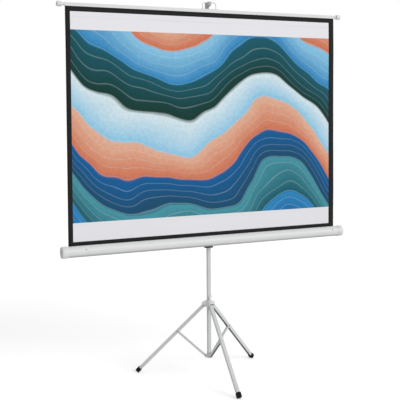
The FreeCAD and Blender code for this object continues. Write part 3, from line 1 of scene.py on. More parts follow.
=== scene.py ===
"""Looks of the tripod projection screen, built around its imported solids.

Metres. The origin is the point on the floor under the pole's axis, the screen faces -Y, +Z is up.
"""
import math

import bpy
from mathutils import Matrix, Vector


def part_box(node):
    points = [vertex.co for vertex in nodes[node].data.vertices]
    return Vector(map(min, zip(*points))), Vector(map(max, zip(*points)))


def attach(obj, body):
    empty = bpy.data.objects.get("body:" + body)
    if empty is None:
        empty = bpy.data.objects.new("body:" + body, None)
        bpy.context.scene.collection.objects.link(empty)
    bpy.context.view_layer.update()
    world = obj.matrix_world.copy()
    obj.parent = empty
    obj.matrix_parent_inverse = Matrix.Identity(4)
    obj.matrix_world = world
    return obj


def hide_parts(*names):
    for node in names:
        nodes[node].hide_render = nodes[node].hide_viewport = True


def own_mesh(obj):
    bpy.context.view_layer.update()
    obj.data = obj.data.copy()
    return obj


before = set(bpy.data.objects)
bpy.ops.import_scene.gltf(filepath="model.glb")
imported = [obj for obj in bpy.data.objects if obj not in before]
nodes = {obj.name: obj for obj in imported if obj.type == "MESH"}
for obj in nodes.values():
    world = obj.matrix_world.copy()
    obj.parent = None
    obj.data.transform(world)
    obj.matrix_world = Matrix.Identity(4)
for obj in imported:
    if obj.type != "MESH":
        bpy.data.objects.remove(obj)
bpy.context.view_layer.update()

# A point's coordinates
ACROSS = 0
DEEP = 1
UP = 2


# Camera. Its focal length and rise are in pixels of the photograph.

IMAGE_SIDE = 400
CAMERA_FOCAL = 821.8
CAMERA_RISE = 49
CAMERA_PLACE = Vector((-2.538, -5.3149, 1.9181))
CAMERA_YAW = math.radians(24.974)
CAMERA_PITCH = math.radians(2.788)
CAMERA_ROLL = math.radians(-0.399)
SENSOR_WIDE = 36
NEAREST = 0.1
FARTHEST = 200


def add_object(name, data):
    """A new object in the scene with that mesh, lamp or camera."""
    made = bpy.data.objects.new(name, data)
    bpy.context.scene.collection.objects.link(made)
    return made


def make_camera():
    """The photograph's viewpoint: in front of the screen, to its left, above eye height."""
    data = bpy.data.cameras.new("camera")
    data.sensor_width = SENSOR_WIDE
    data.lens = CAMERA_FOCAL / IMAGE_SIDE * data.sensor_width
    data.shift_y = -CAMERA_RISE / IMAGE_SIDE
    data.clip_start = NEAREST
    data.clip_end = FARTHEST
    camera = add_object("camera", data)
    ahead = Vector((math.sin(CAMERA_YAW) * math.cos(CAMERA_PITCH),
                    math.cos(CAMERA_YAW) * math.cos(CAMERA_PITCH),
                    -math.sin(CAMERA_PITCH)))
    level = Vector((math.cos(CAMERA_YAW), -math.sin(CAMERA_YAW), 0))
    upright = level.cross(ahead)
    right = math.cos(CAMERA_ROLL) * level + math.sin(CAMERA_ROLL) * upright
    up = -math.sin(CAMERA_ROLL) * level + math.cos(CAMERA_ROLL) * upright
    turn = Matrix((right, up, -ahead)).transposed()
    camera.matrix_world = Matrix.Translation(CAMERA_PLACE) @ turn.to_4x4()
    bpy.context.scene.camera = camera


# Node trees

NOISE_SPREAD = (0.3, 0.7)
EDGE_TURN = (0.995, 0.90)
EDGE_SAMPLES = 4
OPEN_SAMPLES = 8

# The colour sockets of a Mix node share their names with others, so they go by their places.
MIX_SHARE = 0
MIX_FIRST = 6
MIX_SECOND = 7
MIX_RESULT = 2


class Tree:
    """One material's nodes, made a line at a time. Values and colours are sockets or numbers."""

    def __init__(self, name):
        self.material = bpy.data.materials.new(name)
        self.material.use_nodes = True
        self.nodes = self.material.node_tree.nodes
        self.links = self.material.node_tree.links
        self.shader = self.nodes["Principled BSDF"]
        self.output = self.nodes["Material Output"]

    def add(self, kind, **settings):
        made = self.nodes.new(kind)
        for name, value in settings.items():
            setattr(made, name, value)
        return made

    def set(self, socket, value):
        if isinstance(value, bpy.types.NodeSocket):
            self.links.new(value, socket)
        elif isinstance(value, (tuple, list)) and len(value) == 3 and socket.type == "RGBA":
            socket.default_value = (*value, 1)
        else:
            socket.default_value = value

    def place(self):
        """Where a point is on the object, in metres. It moves with the piece."""
        return self.add("ShaderNodeTexCoord").outputs["Object"]

    def map(self, name):
        return self.add("ShaderNodeUVMap", uv_map=name).outputs["UV"]

    def scaled(self, vector, scale):
        made = self.add("ShaderNodeMapping")
        self.set(made.inputs["Vector"], vector)
        made.inputs["Scale"].default_value = scale
        return made.outputs["Vector"]

    def parts(self, vector):
        made = self.add("ShaderNodeSeparateXYZ")
        self.set(made.inputs[0], vector)
        return made.outputs

    def noise(self, vector, scale, detail=3.0, rough=0.5):
        """Soft noise of that scale, which is per metre."""
        made = self.add("ShaderNodeTexNoise")
        self.set(made.inputs["Vector"], vector)
        made.inputs["Scale"].default_value = scale
        made.inputs["Detail"].default_value = detail
        made.inputs["Roughness"].default_value = rough
        return made.outputs["Fac"]

    def cells(self, vector, scale):
        made = self.add("ShaderNodeTexVoronoi")
        self.set(made.inputs["Vector"], vector)
        made.inputs["Scale"].default_value = scale
        return made.outputs["Distance"]

    def math(self, operation, a, b=0.0, clamp=False):
        made = self.add("ShaderNodeMath", operation=operation, use_clamp=clamp)
        self.set(made.inputs[0], a)
        self.set(made.inputs[1], b)
        return made.outputs[0]

    def sum(self, a, b):
        return self.math("ADD", a, b)

    def less(self, a, b, clamp=False):
        return self.math("SUBTRACT", a, b, clamp)

    def times(self, a, b):
        return self.math("MULTIPLY", a, b)

    def range(self, value, low, high, start=0.0, end=1.0, smooth=False):
        """value's share of the way from low to high, as a number from start to end."""
        made = self.add("ShaderNodeMapRange")
        made.interpolation_type = "SMOOTHSTEP" if smooth else "LINEAR"
        made.clamp = True
        for name, number in (("Value", value), ("From Min", low), ("From Max", high),
                             ("To Min", start), ("To Max", end)):
            self.set(made.inputs[name], number)
        return made.outputs["Result"]

    def spread(self, noise, start=0.0, end=1.0):
        """A noise over the values that it mostly has, as a number from start to end."""
        return self.range(noise, *NOISE_SPREAD, start, end)

    def mix(self, share, a, b):
        made = self.add("ShaderNodeMix", data_type="RGBA")
        self.set(made.inputs[MIX_SHARE], share)
        self.set(made.inputs[MIX_FIRST], a)
        self.set(made.inputs[MIX_SECOND], b)
        return made.outputs[MIX_RESULT]

    def ramp(self, value, stops):
        made = self.add("ShaderNodeValToRGB")
        steps = made.color_ramp.elements
        while len(steps) < len(stops):
            steps.new(0.5)
        for step, (where, colour) in zip(steps, stops):
            step.position = where
            step.color = (*colour, 1)
        self.set(made.inputs[0], value)
        return made.outputs["Color"]

    def bump(self, height, depth, strength, under=None):
        """Relief of that depth in metres, on top of the relief under it."""
        made = self.add("ShaderNodeBump")
        made.inputs["Strength"].default_value = strength
        made.inputs["Distance"].default_value = depth
        self.set(made.inputs["Height"], height)
        if under is not None:
            self.set(made.inputs["Normal"], under)
        return made.outputs["Normal"]

    def facing(self, axis):
        """How far the surface faces along an axis, from -1 to 1."""
        return self.parts(self.add("ShaderNodeNewGeometry").outputs["Normal"])[axis]

    def edges(self, radius):
        """1 along the shape's edges, to that radius, and 0 on its flats."""
        soft = self.add("ShaderNodeBevel", samples=EDGE_SAMPLES)
        soft.inputs["Radius"].default_value = radius
        hard = self.add("ShaderNodeNewGeometry")
        dot = self.add("ShaderNodeVectorMath", operation="DOT_PRODUCT")
        self.set(dot.inputs[0], soft.outputs["Normal"])
        self.set(dot.inputs[1], hard.outputs["Normal"])
        return self.range(dot.outputs["Value"], *EDGE_TURN)

    def openness(self, distance):
        """1 where nothing is near the surface, and less the more surrounds it within distance."""
        made = self.add("ShaderNodeAmbientOcclusion", samples=OPEN_SAMPLES)
        made.inputs["Distance"].default_value = distance
        return made.outputs["AO"]

    def finish(self, colour, roughness, normal=None, metallic=0.0, **constants):
        self.set(self.shader.inputs["Base Color"], colour)
        self.set(self.shader.inputs["Roughness"], roughness)
        self.shader.inputs["Metallic"].default_value = metallic
        for name, value in constants.items():
            self.shader.inputs[name.replace("_", " ")].default_value = value
        if normal is not None:
            self.set(self.shader.inputs["Normal"], normal)
        return self.material


def shade(colour, share):
    """That share of a colour's brightness."""
    return tuple(min(1.0, share * part) for part in colour)


# Enamel. In each pair of a noise's values the mark begins at the first and is full at the second.

CLOUD_SCALE = 3.5
CLOUD_TONE = 0.03
MOTTLE_SCALE = 60.0
MOTTLE_TONE = 0.022
TONE_SPREAD = 0.05
PAINT_DULL = 0.96
PAINT_LIGHT = 1.03
PAINT_SCRATCHED = 0.82
STREAK_SCALE = 220.0
STREAK_LINES = (0.62, 0.69)
STREAK_CLOUDS = (0.42, 0.60)
STREAK_SHARE = 0.35
CHIP_SCALE = 340.0
CHIP_MARKS = (0.48, 0.60)
CHIP_RADIUS = 0.0012
CHIP_COLOUR = (0.42, 0.42, 0.42)
LINT_SCALE = 130.0
LINT_MARKS = (0.42, 0.66)
LINT_FACES = (0.55, 1.0)
LINT_SHARE = 0.14
LINT_COLOUR = (0.46, 0.44, 0.41)
# Painted shade deep in hollows, found by ambient occlusion, and its near-black colour
PAINTED_HOLLOW_REACH = 0.03
PAINTED_HOLLOW_OPENNESS = (0.62, 0.30)
PAINTED_HOLLOW_SHADE_COLOUR = (0.075, 0.076, 0.078)
# Painted shade: faces that look down, and the near-black that painted shade darkens towards
PAINTED_UNDER_SHADE_FACES = (-0.45, -1.0)
PAINTED_SHADE_COLOUR = (0.02, 0.02, 0.02)
DIRT_HEIGHTS = (0.16, 0.0)
DIRT_MARKS = (0.35, 0.65)
DIRT_COLOUR = (0.30, 0.28, 0.25)
PEEL_DEPTH = 0.00006
SCRATCH_DEPTH = 0.00004
PAINT_SMOOTHER = 0.04
PAINT_ROUGHER = 0.05
SCRATCH_ROUGHER = 0.12
CHIP_SMOOTHER = 0.08


def paint(name, colour, roughness, grain, wear, dirt=0.0, along=(1, 1, 1), painted_hollow_shade=0.0, under=0.0):
    """Sprayed enamel: faint orange peel, cloudy tone, hair scratches, rubbed edges and lint.

    grain is the scale of its peel, wear is how far its edges are rubbed, dirt is how much dust it
    has near the floor, and along stretches its scratches. hollow is how much painted shade darkens
    it deep inside a channel, and under is how much painted shade darkens a face that looks down.
    """
    t = Tree(name)
    place = t.place()
    cloud = t.noise(place, CLOUD_SCALE, detail=4.0)
    mottle = t.noise(place, MOTTLE_SCALE)
    peel = t.noise(place, grain, detail=2.0)
    tone = t.sum(t.spread(cloud, -CLOUD_TONE, CLOUD_TONE),
                 t.spread(mottle, -MOTTLE_TONE, MOTTLE_TONE))
    tone = t.range(tone, -TONE_SPREAD, TONE_SPREAD)
    body = t.mix(tone, shade(colour, PAINT_DULL), shade(colour, PAINT_LIGHT))
    streak = t.noise(t.scaled(place, along), STREAK_SCALE, detail=2.0, rough=0.6)
    scratch = t.times(t.range(streak, *STREAK_LINES), t.range(cloud, *STREAK_CLOUDS))
    body = t.mix(t.times(scratch, STREAK_SHARE), body, shade(colour, PAINT_SCRATCHED))
    chips = t.noise(place, CHIP_SCALE, detail=3.0, rough=0.6)
    rubbed = t.times(t.edges(CHIP_RADIUS), t.range(chips, *CHIP_MARKS))
    body = t.mix(t.times(rubbed, wear), body, CHIP_COLOUR)
    fluff = t.noise(place, LINT_SCALE, detail=4.0, rough=0.65)
    lint = t.times(t.range(t.facing(UP), *LINT_FACES), t.range(fluff, *LINT_MARKS))
    body = t.mix(t.times(lint, LINT_SHARE), body, LINT_COLOUR)
    # Painted shade: the more a point is surrounded, the darker it is painted
    if painted_hollow_shade:
        depth = t.range(t.openness(PAINTED_HOLLOW_REACH), *PAINTED_HOLLOW_OPENNESS)
        body = t.mix(t.times(depth, painted_hollow_shade), body, PAINTED_HOLLOW_SHADE_COLOUR)
    # Painted shade on the faces that look down
    if under:
        painted_under_shade = t.range(t.facing(UP), *PAINTED_UNDER_SHADE_FACES, 0.0, under)
        body = t.mix(painted_under_shade, body, PAINTED_SHADE_COLOUR)
    if dirt:
        low = t.range(t.parts(place)[UP], *DIRT_HEIGHTS, smooth=True)
        dust = t.times(low, t.range(mottle, *DIRT_MARKS))
        body = t.mix(t.times(dust, dirt), body, DIRT_COLOUR)
    rough = t.spread(cloud, roughness - PAINT_SMOOTHER, roughness + PAINT_ROUGHER)
    rough = t.sum(rough, t.times(scratch, SCRATCH_ROUGHER))
    rough = t.less(rough, t.times(rubbed, CHIP_SMOOTHER), clamp=True)
    relief = t.bump(peel, PEEL_DEPTH, strength=0.5)
    relief = t.bump(scratch, SCRATCH_DEPTH, strength=-0.4, under=relief)
    return t.finish(body, rough, relief, Specular_IOR_Level=0.36, Coat_Weight=0.05,
                    Coat_Roughness=0.25)


# Metal, plastic and rubber

LINE_SCALE = 900.0
LINE_MARKS = (0.35, 0.65)
LINE_SHARE = 0.25
LINE_DEPTH = 0.00003
PATCH_SCALE = 45.0
PATCH_MARKS = (0.35, 0.70)
METAL_DULL = 0.62
METAL_LINES = 1.2
# Painted highlight along the metal's edges
PAINTED_EDGE_HIGHLIGHT_TONE = 1.35
PAINTED_HIGHLIGHT_RADIUS = 0.0006
PAINTED_HIGHLIGHT_SHARE = 0.4
METAL_SMOOTHER = 0.06
METAL_ROUGHER = 0.10
LINE_ROUGH = 0.04


def bare_metal(name, colour, roughness, along):
    """Drawn or turned steel with fine lines along it, dull patches and a painted highlight on its
    edges.
    """
    t = Tree(name)
    place = t.place()
    lines = t.noise(t.scaled(place, along), LINE_SCALE, detail=3.0, rough=0.6)
    patch = t.noise(place, PATCH_SCALE, detail=4.0, rough=0.6)
    body = t.mix(t.range(patch, *PATCH_MARKS), colour, shade(colour, METAL_DULL))
    body = t.mix(t.range(lines, *LINE_MARKS, 0.0, LINE_SHARE), body, shade(colour, METAL_LINES))
    # Painted highlight: every edge is lightened alike
    painted_edge_highlight = t.edges(PAINTED_HIGHLIGHT_RADIUS)
    body = t.mix(t.times(painted_edge_highlight, PAINTED_HIGHLIGHT_SHARE), body, shade(colour, PAINTED_EDGE_HIGHLIGHT_TONE))
    rough = t.spread(patch, roughness - METAL_SMOOTHER, roughness + METAL_ROUGHER)
    rough = t.sum(rough, t.spread(lines, -LINE_ROUGH, LINE_ROUGH))
    return t.finish(body, rough, t.bump(lines, LINE_DEPTH, strength=0.6), metallic=1.0)


PIT_SCALE = 1400.0
PIT_DEPTH = 0.00005
FLOW_SCALE = 18.0
FLOW_DULL = 0.93
FLOW_LIGHT = 1.05
SPECK_SCALE = 500.0
SPECK_MARKS = (0.62, 0.70)
SPECK_SHARE = 0.12
SPECK_TONE = 0.8
HANDLED_SCALE = 260.0
HANDLED_MARKS = (0.42, 0.60)
HANDLED_RADIUS = 0.0011
HANDLED_SHARE = 0.25
# Painted shade on faces that look along the screen's width
PAINTED_END_SHADE_FACES = (0.80, 0.98)
FLOW_SMOOTHER = 0.05
FLOW_ROUGHER = 0.06
HANDLED_SMOOTHER = 0.12


def moulded(name, colour, roughness, edge, painted_end_shade=0.0):
    """Injection-moulded plastic with a fine spark texture, rubbed where hands and pieces touch it.

    edge is the colour of its rubbed edges, and ends is how much painted shade darkens a face that
    looks along the screen's width.
    """
    t = Tree(name)
    place = t.place()
    pits = t.cells(place, PIT_SCALE)
    flow = t.noise(place, FLOW_SCALE, detail=4.0, rough=0.55)
    speck = t.noise(place, SPECK_SCALE, detail=2.0)
    body = t.mix(t.spread(flow), shade(colour, FLOW_DULL), shade(colour, FLOW_LIGHT))
    body = t.mix(t.range(speck, *SPECK_MARKS, 0.0, SPECK_SHARE), body, shade(colour, SPECK_TONE))
    touched = t.noise(place, HANDLED_SCALE, detail=3.0, rough=0.6)
    rubbed = t.times(t.edges(HANDLED_RADIUS), t.range(touched, *HANDLED_MARKS))
    body = t.mix(t.times(rubbed, HANDLED_SHARE), body, edge)
    # Painted shade on the faces that look along the screen's width, such as the end caps' ends
    if painted_end_shade:
        sideways = t.math("ABSOLUTE", t.facing(ACROSS))
        body = t.mix(t.range(sideways, *PAINTED_END_SHADE_FACES, 0.0, painted_end_shade), body, PAINTED_SHADE_COLOUR)
    rough = t.spread(flow, roughness - FLOW_SMOOTHER, roughness + FLOW_ROUGHER)
    rough = t.sum(rough, t.times(rubbed, -HANDLED_SMOOTHER))
    return t.finish(body, rough, t.bump(pits, PIT_DEPTH, strength=0.5), Specular_IOR_Level=0.4)


BLOOM_SCALE = 70.0
BLOOM_MARKS = (0.45, 0.75)
GRIT_SCALE = 900.0
GRIT_MARKS = (0.45, 0.62)
GRIT_HEIGHTS = (0.014, 0.0)
GRIT_SHARE = 0.7
GRIT_DEPTH = 0.00012
GRIT_COLOUR = (0.20, 0.18, 0.16)
RUBBER_BLACK = (0.006, 0.006, 0.006)
RUBBER_BLOOM = (0.016, 0.016, 0.017)
RUBBER_ROUGH = (0.62, 0.82)
SCUFF_RADIUS = 0.0015
SCUFF_SHARE = 0.35
SCUFF_COLOUR = (0.09, 0.09, 0.09)


def rubber(name):
    """Moulded rubber of the feet: matt, bloomed grey in patches, scuffed and dusty at the floor."""
    t = Tree(name)
    place = t.place()
    bloom = t.noise(place, BLOOM_SCALE, detail=4.0, rough=0.6)
    grit = t.noise(place, GRIT_SCALE, detail=3.0, rough=0.7)
    body = t.mix(t.range(bloom, *BLOOM_MARKS), RUBBER_BLACK, RUBBER_BLOOM)
    dust = t.times(t.range(t.parts(place)[UP], *GRIT_HEIGHTS), t.range(grit, *GRIT_MARKS))
    body = t.mix(t.times(dust, GRIT_SHARE), body, GRIT_COLOUR)
    body = t.mix(t.times(t.edges(SCUFF_RADIUS), SCUFF_SHARE), body, SCUFF_COLOUR)
    rough = t.spread(bloom, *RUBBER_ROUGH)
    return t.finish(body, rough, t.bump(grit, GRIT_DEPTH, strength=0.6), Specular_IOR_Level=0.10)


# Cloth. Its map is in metres, from its lower left corner.

CLOTH_FIRST, CLOTH_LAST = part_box("screen_cloth")
CLOTH_WIDE = CLOTH_LAST[ACROSS] - CLOTH_FIRST[ACROSS]
CLOTH_THICK = CLOTH_LAST[DEEP] - CLOTH_FIRST[DEEP]
CLOTH_PLACE = (CLOTH_FIRST[DEEP] + CLOTH_LAST[DEEP]) / 2
CLOTH_LOW = CLOTH_FIRST[UP]
CLOTH_HIGH = CLOTH_LAST[UP]
CLOTH_TALL = CLOTH_HIGH - CLOTH_LOW
BORDER_LEFT = 0.034
BORDER_RIGHT = 0.044
VIEW_LOW = 1.052 - CLOTH_LOW
VIEW_HIGH = 2.579 - CLOTH_LOW
DESIGN_LOW = VIEW_LOW + 0.126
DESIGN_HIGH = VIEW_HIGH - 0.119
ROLL_TURN = 0.138

SKY = (0.285, 0.620, 0.850)
SKY_PALE = (0.740, 0.870, 0.920)
ORANGE = (0.680, 0.190, 0.095)
PEACH = (0.830, 0.480, 0.330)
NAVY = (0.004, 0.016, 0.035)
NAVY_LIGHT = (0.012, 0.075, 0.150)
BLUE = (0.006, 0.120, 0.340)
BLUE_LIGHT = (0.030, 0.260, 0.560)
GREEN = (0.006, 0.040, 0.026)
GREEN_LIGHT = (0.040, 0.120, 0.060)
TEAL = (0.010, 0.110, 0.150)
TEAL_LIGHT = (0.070, 0.330, 0.400)
BLACK = (0.0, 0.0, 0.0)

# The ribbons from the foot up, each with its shaded and its light edge
RIBBONS = ((NAVY, BLUE), (GREEN, GREEN_LIGHT), (NAVY, NAVY_LIGHT), (BLUE, BLUE_LIGHT),
           (TEAL, TEAL_LIGHT), (NAVY_LIGHT, BLUE), (ORANGE, PEACH), (SKY, SKY_PALE),
           (GREEN, TEAL), (BLUE_LIGHT, SKY), (ORANGE, PEACH), (NAVY, TEAL), (SKY, SKY_PALE))
RIBBON_BODY = 0.94
RIBBON_RISE = 0.62
RIBBON_SLANT = 0.34
RIBBON_LEVELS = (-0.05, 1.85)
SWELL_ACROSS = 2.3
SWELL_START = 0.6
SWELL_HIGH = 0.30
RIPPLE_ACROSS = 5.9
RIPPLE_UP = 2.0
RIPPLE_HIGH = 0.055
DRIFT_SCALE = 1.3
DRIFT_HIGH = 0.30
THREADS = 52.0
THREAD_LINE = (0.86, 0.95)
THREAD_SHARE = 0.16
SPRAY_SCALE = 40.0
SPRAY_SHARE = 0.14


def ribbon_stops():
    """Ramp stops that turn each ribbon's two colours into a shaded band with a sharp upper edge."""
    count = len(RIBBONS)
    stops = []
    for index, (dark, light) in enumerate(RIBBONS):
        stops.append((index / count, dark))
        stops.append(((index + RIBBON_BODY) / count, light))
    return stops


def design(t, across, up):
    """A pattern of wide shaded ribbons.

    across is measured from the cloth's left edge and up from the viewing area's foot, in metres.
    """
    swell = t.math("SINE", t.sum(t.times(across, SWELL_ACROSS), SWELL_START))
    ripple = t.math("SINE", t.sum(t.times(across, RIPPLE_ACROSS), t.times(up, RIPPLE_UP)))
    wave = t.sum(t.times(swell, SWELL_HIGH), t.times(ripple, RIPPLE_HIGH))
    place = t.add("ShaderNodeCombineXYZ")
    t.set(place.inputs[0], across)
    t.set(place.inputs[1], up)
    point = place.outputs[0]
    drift = t.times(t.noise(point, DRIFT_SCALE, detail=2.0), DRIFT_HIGH)
    level = t.sum(t.times(up, RIBBON_RISE), t.times(across, RIBBON_SLANT))
    level = t.range(t.sum(level, t.sum(wave, drift)), *RIBBON_LEVELS)
    body = t.ramp(level, ribbon_stops())
    thread = t.math("FRACT", t.times(level, THREADS))
    body = t.mix(t.range(thread, *THREAD_LINE, 0.0, THREAD_SHARE), body, SKY_PALE)
    spray = t.noise(point, SPRAY_SCALE, detail=3.0, rough=0.6)
    return t.mix(t.spread(spray, 0.0, SPRAY_SHARE), body, BLACK)


def inside(t, value, low, high, soft):
    """1 where value lies between low and high, with a soft edge."""
    return t.times(t.range(value, low - soft, low + soft),
                   t.range(value, high + soft, high - soft))


WEAVE_SCALE = 700.0
WEAVE_STRETCH = (1, 0.35, 1)
WEAVE_DEPTH = 0.00010


def woven(t, place):
    """The base cloth's threads, longer along the height."""
    return t.noise(t.scaled(place, WEAVE_STRETCH), WEAVE_SCALE, detail=2.0)


def turn_lines(t, up, low):
    """Lines across the cloth, one for each turn on the roller: the top of a wave, from low up."""
    wave = t.math("SINE", t.times(up, 2 * math.pi / ROLL_TURN))
    return t.range(wave, low, 1.0, smooth=True)


VINYL = ((0.790, 0.782, 0.822), (0.815, 0.812, 0.838))
# Painted light: the white is blended lighter towards the top of the cloth
PAINTED_LIGHT_VINYL = (0.835, 0.828, 0.862)
# Painted shade in the creases left by the roller
PAINTED_CREASE_SHADE = (0.745, 0.742, 0.775)
PAINTED_LIGHT_HEIGHTS = (0.1, 1.5)
VINYL_CLOUD = 1.6
CREASE_WAVE = 0.90
CREASE_MARKS = (0.35, 0.60)
PAINTED_CREASE_SHADE_SHARE = 0.5
CREASE_DEPTH = 0.0003
INK = ((0.009, 0.009, 0.010), (0.017, 0.017, 0.018))
INK_FRAY = 0.0006
FRAY_SCALE = 900.0
INK_EDGE = 0.0004
DESIGN_EDGE = 0.0012
TOOTH_SCALE = 1500.0
TOOTH_DEPTH = 0.00006
PRINT_ROUGH = (0.72, 0.84)
VIEW_ROUGHER = 0.05


def front_face():
    """White matt vinyl on a woven base, a black border printed on it, and the design inside."""
    t = Tree("screen_front")
    place = t.map("cloth")
    across, up = t.parts(place)[:2]
    tooth = t.cells(place, TOOTH_SCALE)
    weave = woven(t, place)
    cloud = t.noise(place, VINYL_CLOUD)
    creases = t.times(turn_lines(t, up, CREASE_WAVE), t.range(cloud, *CREASE_MARKS))
    white = t.mix(t.spread(cloud), *VINYL)
    # Painted light: lighter the higher up the cloth
    white = t.mix(t.range(up, *PAINTED_LIGHT_HEIGHTS), white, PAINTED_LIGHT_VINYL)
    # Painted shade along the creases
    white = t.mix(t.times(creases, PAINTED_CREASE_SHADE_SHARE), white, PAINTED_CREASE_SHADE)
    fray = t.range(t.noise(place, FRAY_SCALE, detail=2.0), 0.0, 1.0, -INK_FRAY, INK_FRAY)
    view = t.times(
        inside(t, t.sum(across, fray), BORDER_LEFT, CLOTH_WIDE - BORDER_RIGHT, INK_EDGE),
        inside(t, t.sum(up, fray), VIEW_LOW, VIEW_HIGH, INK_EDGE))
    band = inside(t, up, DESIGN_LOW, DESIGN_HIGH, DESIGN_EDGE)
    shown = t.mix(band, white, design(t, across, t.less(up, VIEW_LOW)))
    body = t.mix(view, t.mix(t.spread(weave), *INK), shown)
    rough = t.sum(t.spread(weave, *PRINT_ROUGH), t.times(view, VIEW_ROUGHER))
    relief = t.bump(weave, WEAVE_DEPTH, strength=0.35)
    relief = t.bump(tooth, TOOTH_DEPTH, strength=0.35, under=relief)
    relief = t.bump(creases, CREASE_DEPTH, strength=0.25, under=relief)
    return t.finish(body, rough, relief, Specular_IOR_Level=0.16, Sheen_Weight=0.03)


FILM = ((0.018, 0.018, 0.019), (0.032, 0.032, 0.033))
FILM_CLOUD = 2.4
RUB_WAVE = 0.85
RUB_SCALE = 14.0
RUB_MARKS = (0.45, 0.65)
RUB_SHARE = 0.5
RUB_COLOUR = (0.075, 0.075, 0.077)
FILM_ROUGH = (0.66, 0.82)


def back_face(name):
    """The cloth's black coated back: a matt film over the weave, with pale lines from rolling."""
    t = Tree(name)
    place = t.map("cloth")
    weave = woven(t, place)
    cloud = t.noise(place, FILM_CLOUD, detail=4.0, rough=0.6)
    patches = t.range(t.noise(place, RUB_SCALE, detail=4.0, rough=0.6), *RUB_MARKS)
    rub = t.times(turn_lines(t, t.parts(place)[1], RUB_WAVE), patches)
    body = t.mix(t.times(rub, RUB_SHARE), t.mix(t.spread(cloud), *FILM), RUB_COLOUR)
    rough = t.spread(cloud, *FILM_ROUGH)
    return t.finish(body, rough, t.bump(weave, WEAVE_DEPTH, strength=0.5), Specular_IOR_Level=0.3)


def new_piece(name, points, faces, map_points, looks, face_looks):
    """A mesh piece with a UV map in metres: a map point for each vertex, a look for each face."""
    mesh = bpy.data.meshes.new(name)
    mesh.from_pydata(points, [], faces)
    for look in looks:
        mesh.materials.append(look)
    layer = mesh.uv_layers.new(name="cloth")
    for polygon in mesh.polygons:
        polygon.material_index = face_looks[polygon.index]
        polygon.use_smooth = True
        for corner in polygon.loop_indices:
            layer.data[corner].uv = map_points[mesh.loops[corner].vertex_index]
    mesh.update()
    return add_object(name, mesh)


def sheet_mesh(name, columns, rows, at, thick, width, length, looks, back_look):
    """A thin closed sheet. at(across, up) gives a point of its front and the way to its back.

    Its front has the first of the looks, and its back and rim have the one at back_look.
    """
    points = []
    maps = []
    faces = []
    face_looks = []
    for side in (0, 1):
        for row in range(rows + 1):
            for column in range(columns + 1):
                across = width * column / columns
                up = length * row / rows
                point, behind = at(across, up)
                points.append(point + behind * thick * side)
                maps.append((across, up))
    stride = columns + 1
    layer = stride * (rows + 1)
    for row in range(rows):
        for column in range(columns):
            a = row * stride + column
            faces.append((a, a + 1, a + 1 + stride, a + stride))
            face_looks.append(0)
            b = a + layer
            faces.append((b, b + stride, b + 1 + stride, b + 1))
            face_looks.append(back_look)
    rim = [row * stride for row in range(rows + 1)]
    rim += [rows * stride + column for column in range(1, columns + 1)]
    rim += [row * stride + columns for row in range(rows - 1, -1, -1)]
    rim += list(range(columns - 1, 0, -1))
    for one, two in zip(rim, rim[1:] + rim[:1]):
        faces.append((one, two, two + layer, one + layer))
        face_looks.append(back_look)
    return new_piece(name, points, faces, maps, looks, face_looks)


def smooth_share(value):
    value = min(1.0, max(0.0, value))
    return value * value * (3 - 2 * value)


HELD_FOOT = 0.10
HELD_HEAD = 0.02
FREE_FROM_FOOT = 0.25
FREE_FROM_HEAD = 0.30
WIDE_RIPPLE = 0.0011
FINE_RIPPLE = 0.0006
EDGE_CURL = 0.0040
EDGE_SHARPNESS = 6
CURL_EVEN = 0.75
CURL_UNEVEN = 0.25

# Each wave's radians per metre across and up the cloth
WIDE_ACROSS = 9.0
WIDE_UP = 2.3
FINE_ACROSS = 17.0
FINE_UP = -3.1
CURL_UP = 4.2

# Radians by which a wave sways or starts
WIDE_SWAY = 1.9
FINE_START = 1.0
CURL_START_LEFT = 2.6
CURL_START_RIGHT = 0.8


def cloth_lean(across, up):
    """How far the hanging cloth stands off its plane: soft ripples, none where it is held."""
    held = smooth_share((up - HELD_FOOT) / FREE_FROM_FOOT)
    held *= smooth_share((CLOTH_TALL - HELD_HEAD - up) / FREE_FROM_HEAD)
    middle = (across - CLOTH_WIDE / 2) / (CLOTH_WIDE / 2)
    ripple = WIDE_RIPPLE * math.sin(WIDE_ACROSS * across + WIDE_SWAY * math.sin(WIDE_UP * up))
    ripple += FINE_RIPPLE * math.sin(FINE_ACROSS * across + FINE_UP * up + FINE_START)
    start = CURL_START_RIGHT if middle > 0 else CURL_START_LEFT
    sway = CURL_EVEN + CURL_UNEVEN * math.sin(CURL_UP * up + start)
    curl = -EDGE_CURL * abs(middle) ** EDGE_SHARPNESS * sway
    return held * (ripple + curl)


SCREEN_COLUMNS = 96
SCREEN_ROWS = 72


def make_screen():
    """The cloth between the roller and the top bar."""
    def at(across, up):
        front = CLOTH_PLACE - CLOTH_THICK / 2 + cloth_lean(across, up)
        return Vector((across - CLOTH_WIDE / 2, front, CLOTH_LOW + up)), Vector((0, 1, 0))

    looks = [front_face(), back_face("screen_back")]
    screen = sheet_mesh("screen_sheet", SCREEN_COLUMNS, SCREEN_ROWS, at, CLOTH_THICK, CLOTH_WIDE,
                        CLOTH_TALL, looks, 1)
    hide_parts("screen_cloth")
    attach(screen, "carriage")
    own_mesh(screen)


ROLLER_FIRST, ROLLER_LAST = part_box("roller_tube")
ROLL_DEEP = (ROLLER_FIRST[DEEP] + ROLLER_LAST[DEEP]) / 2
ROLL_UP = (ROLLER_FIRST[UP] + ROLLER_LAST[UP]) / 2
ROLL_GAP = 0.0003
ROLL_INNER = (ROLLER_LAST[UP] - ROLLER_FIRST[UP]) / 2 + ROLL_GAP
ROLL_STEP = 0.00054
ROLL_AIR = 0.00006
ROLL_TURNS = 3.0
ROLL_COLUMNS = 8
ROLL_ROWS = 150


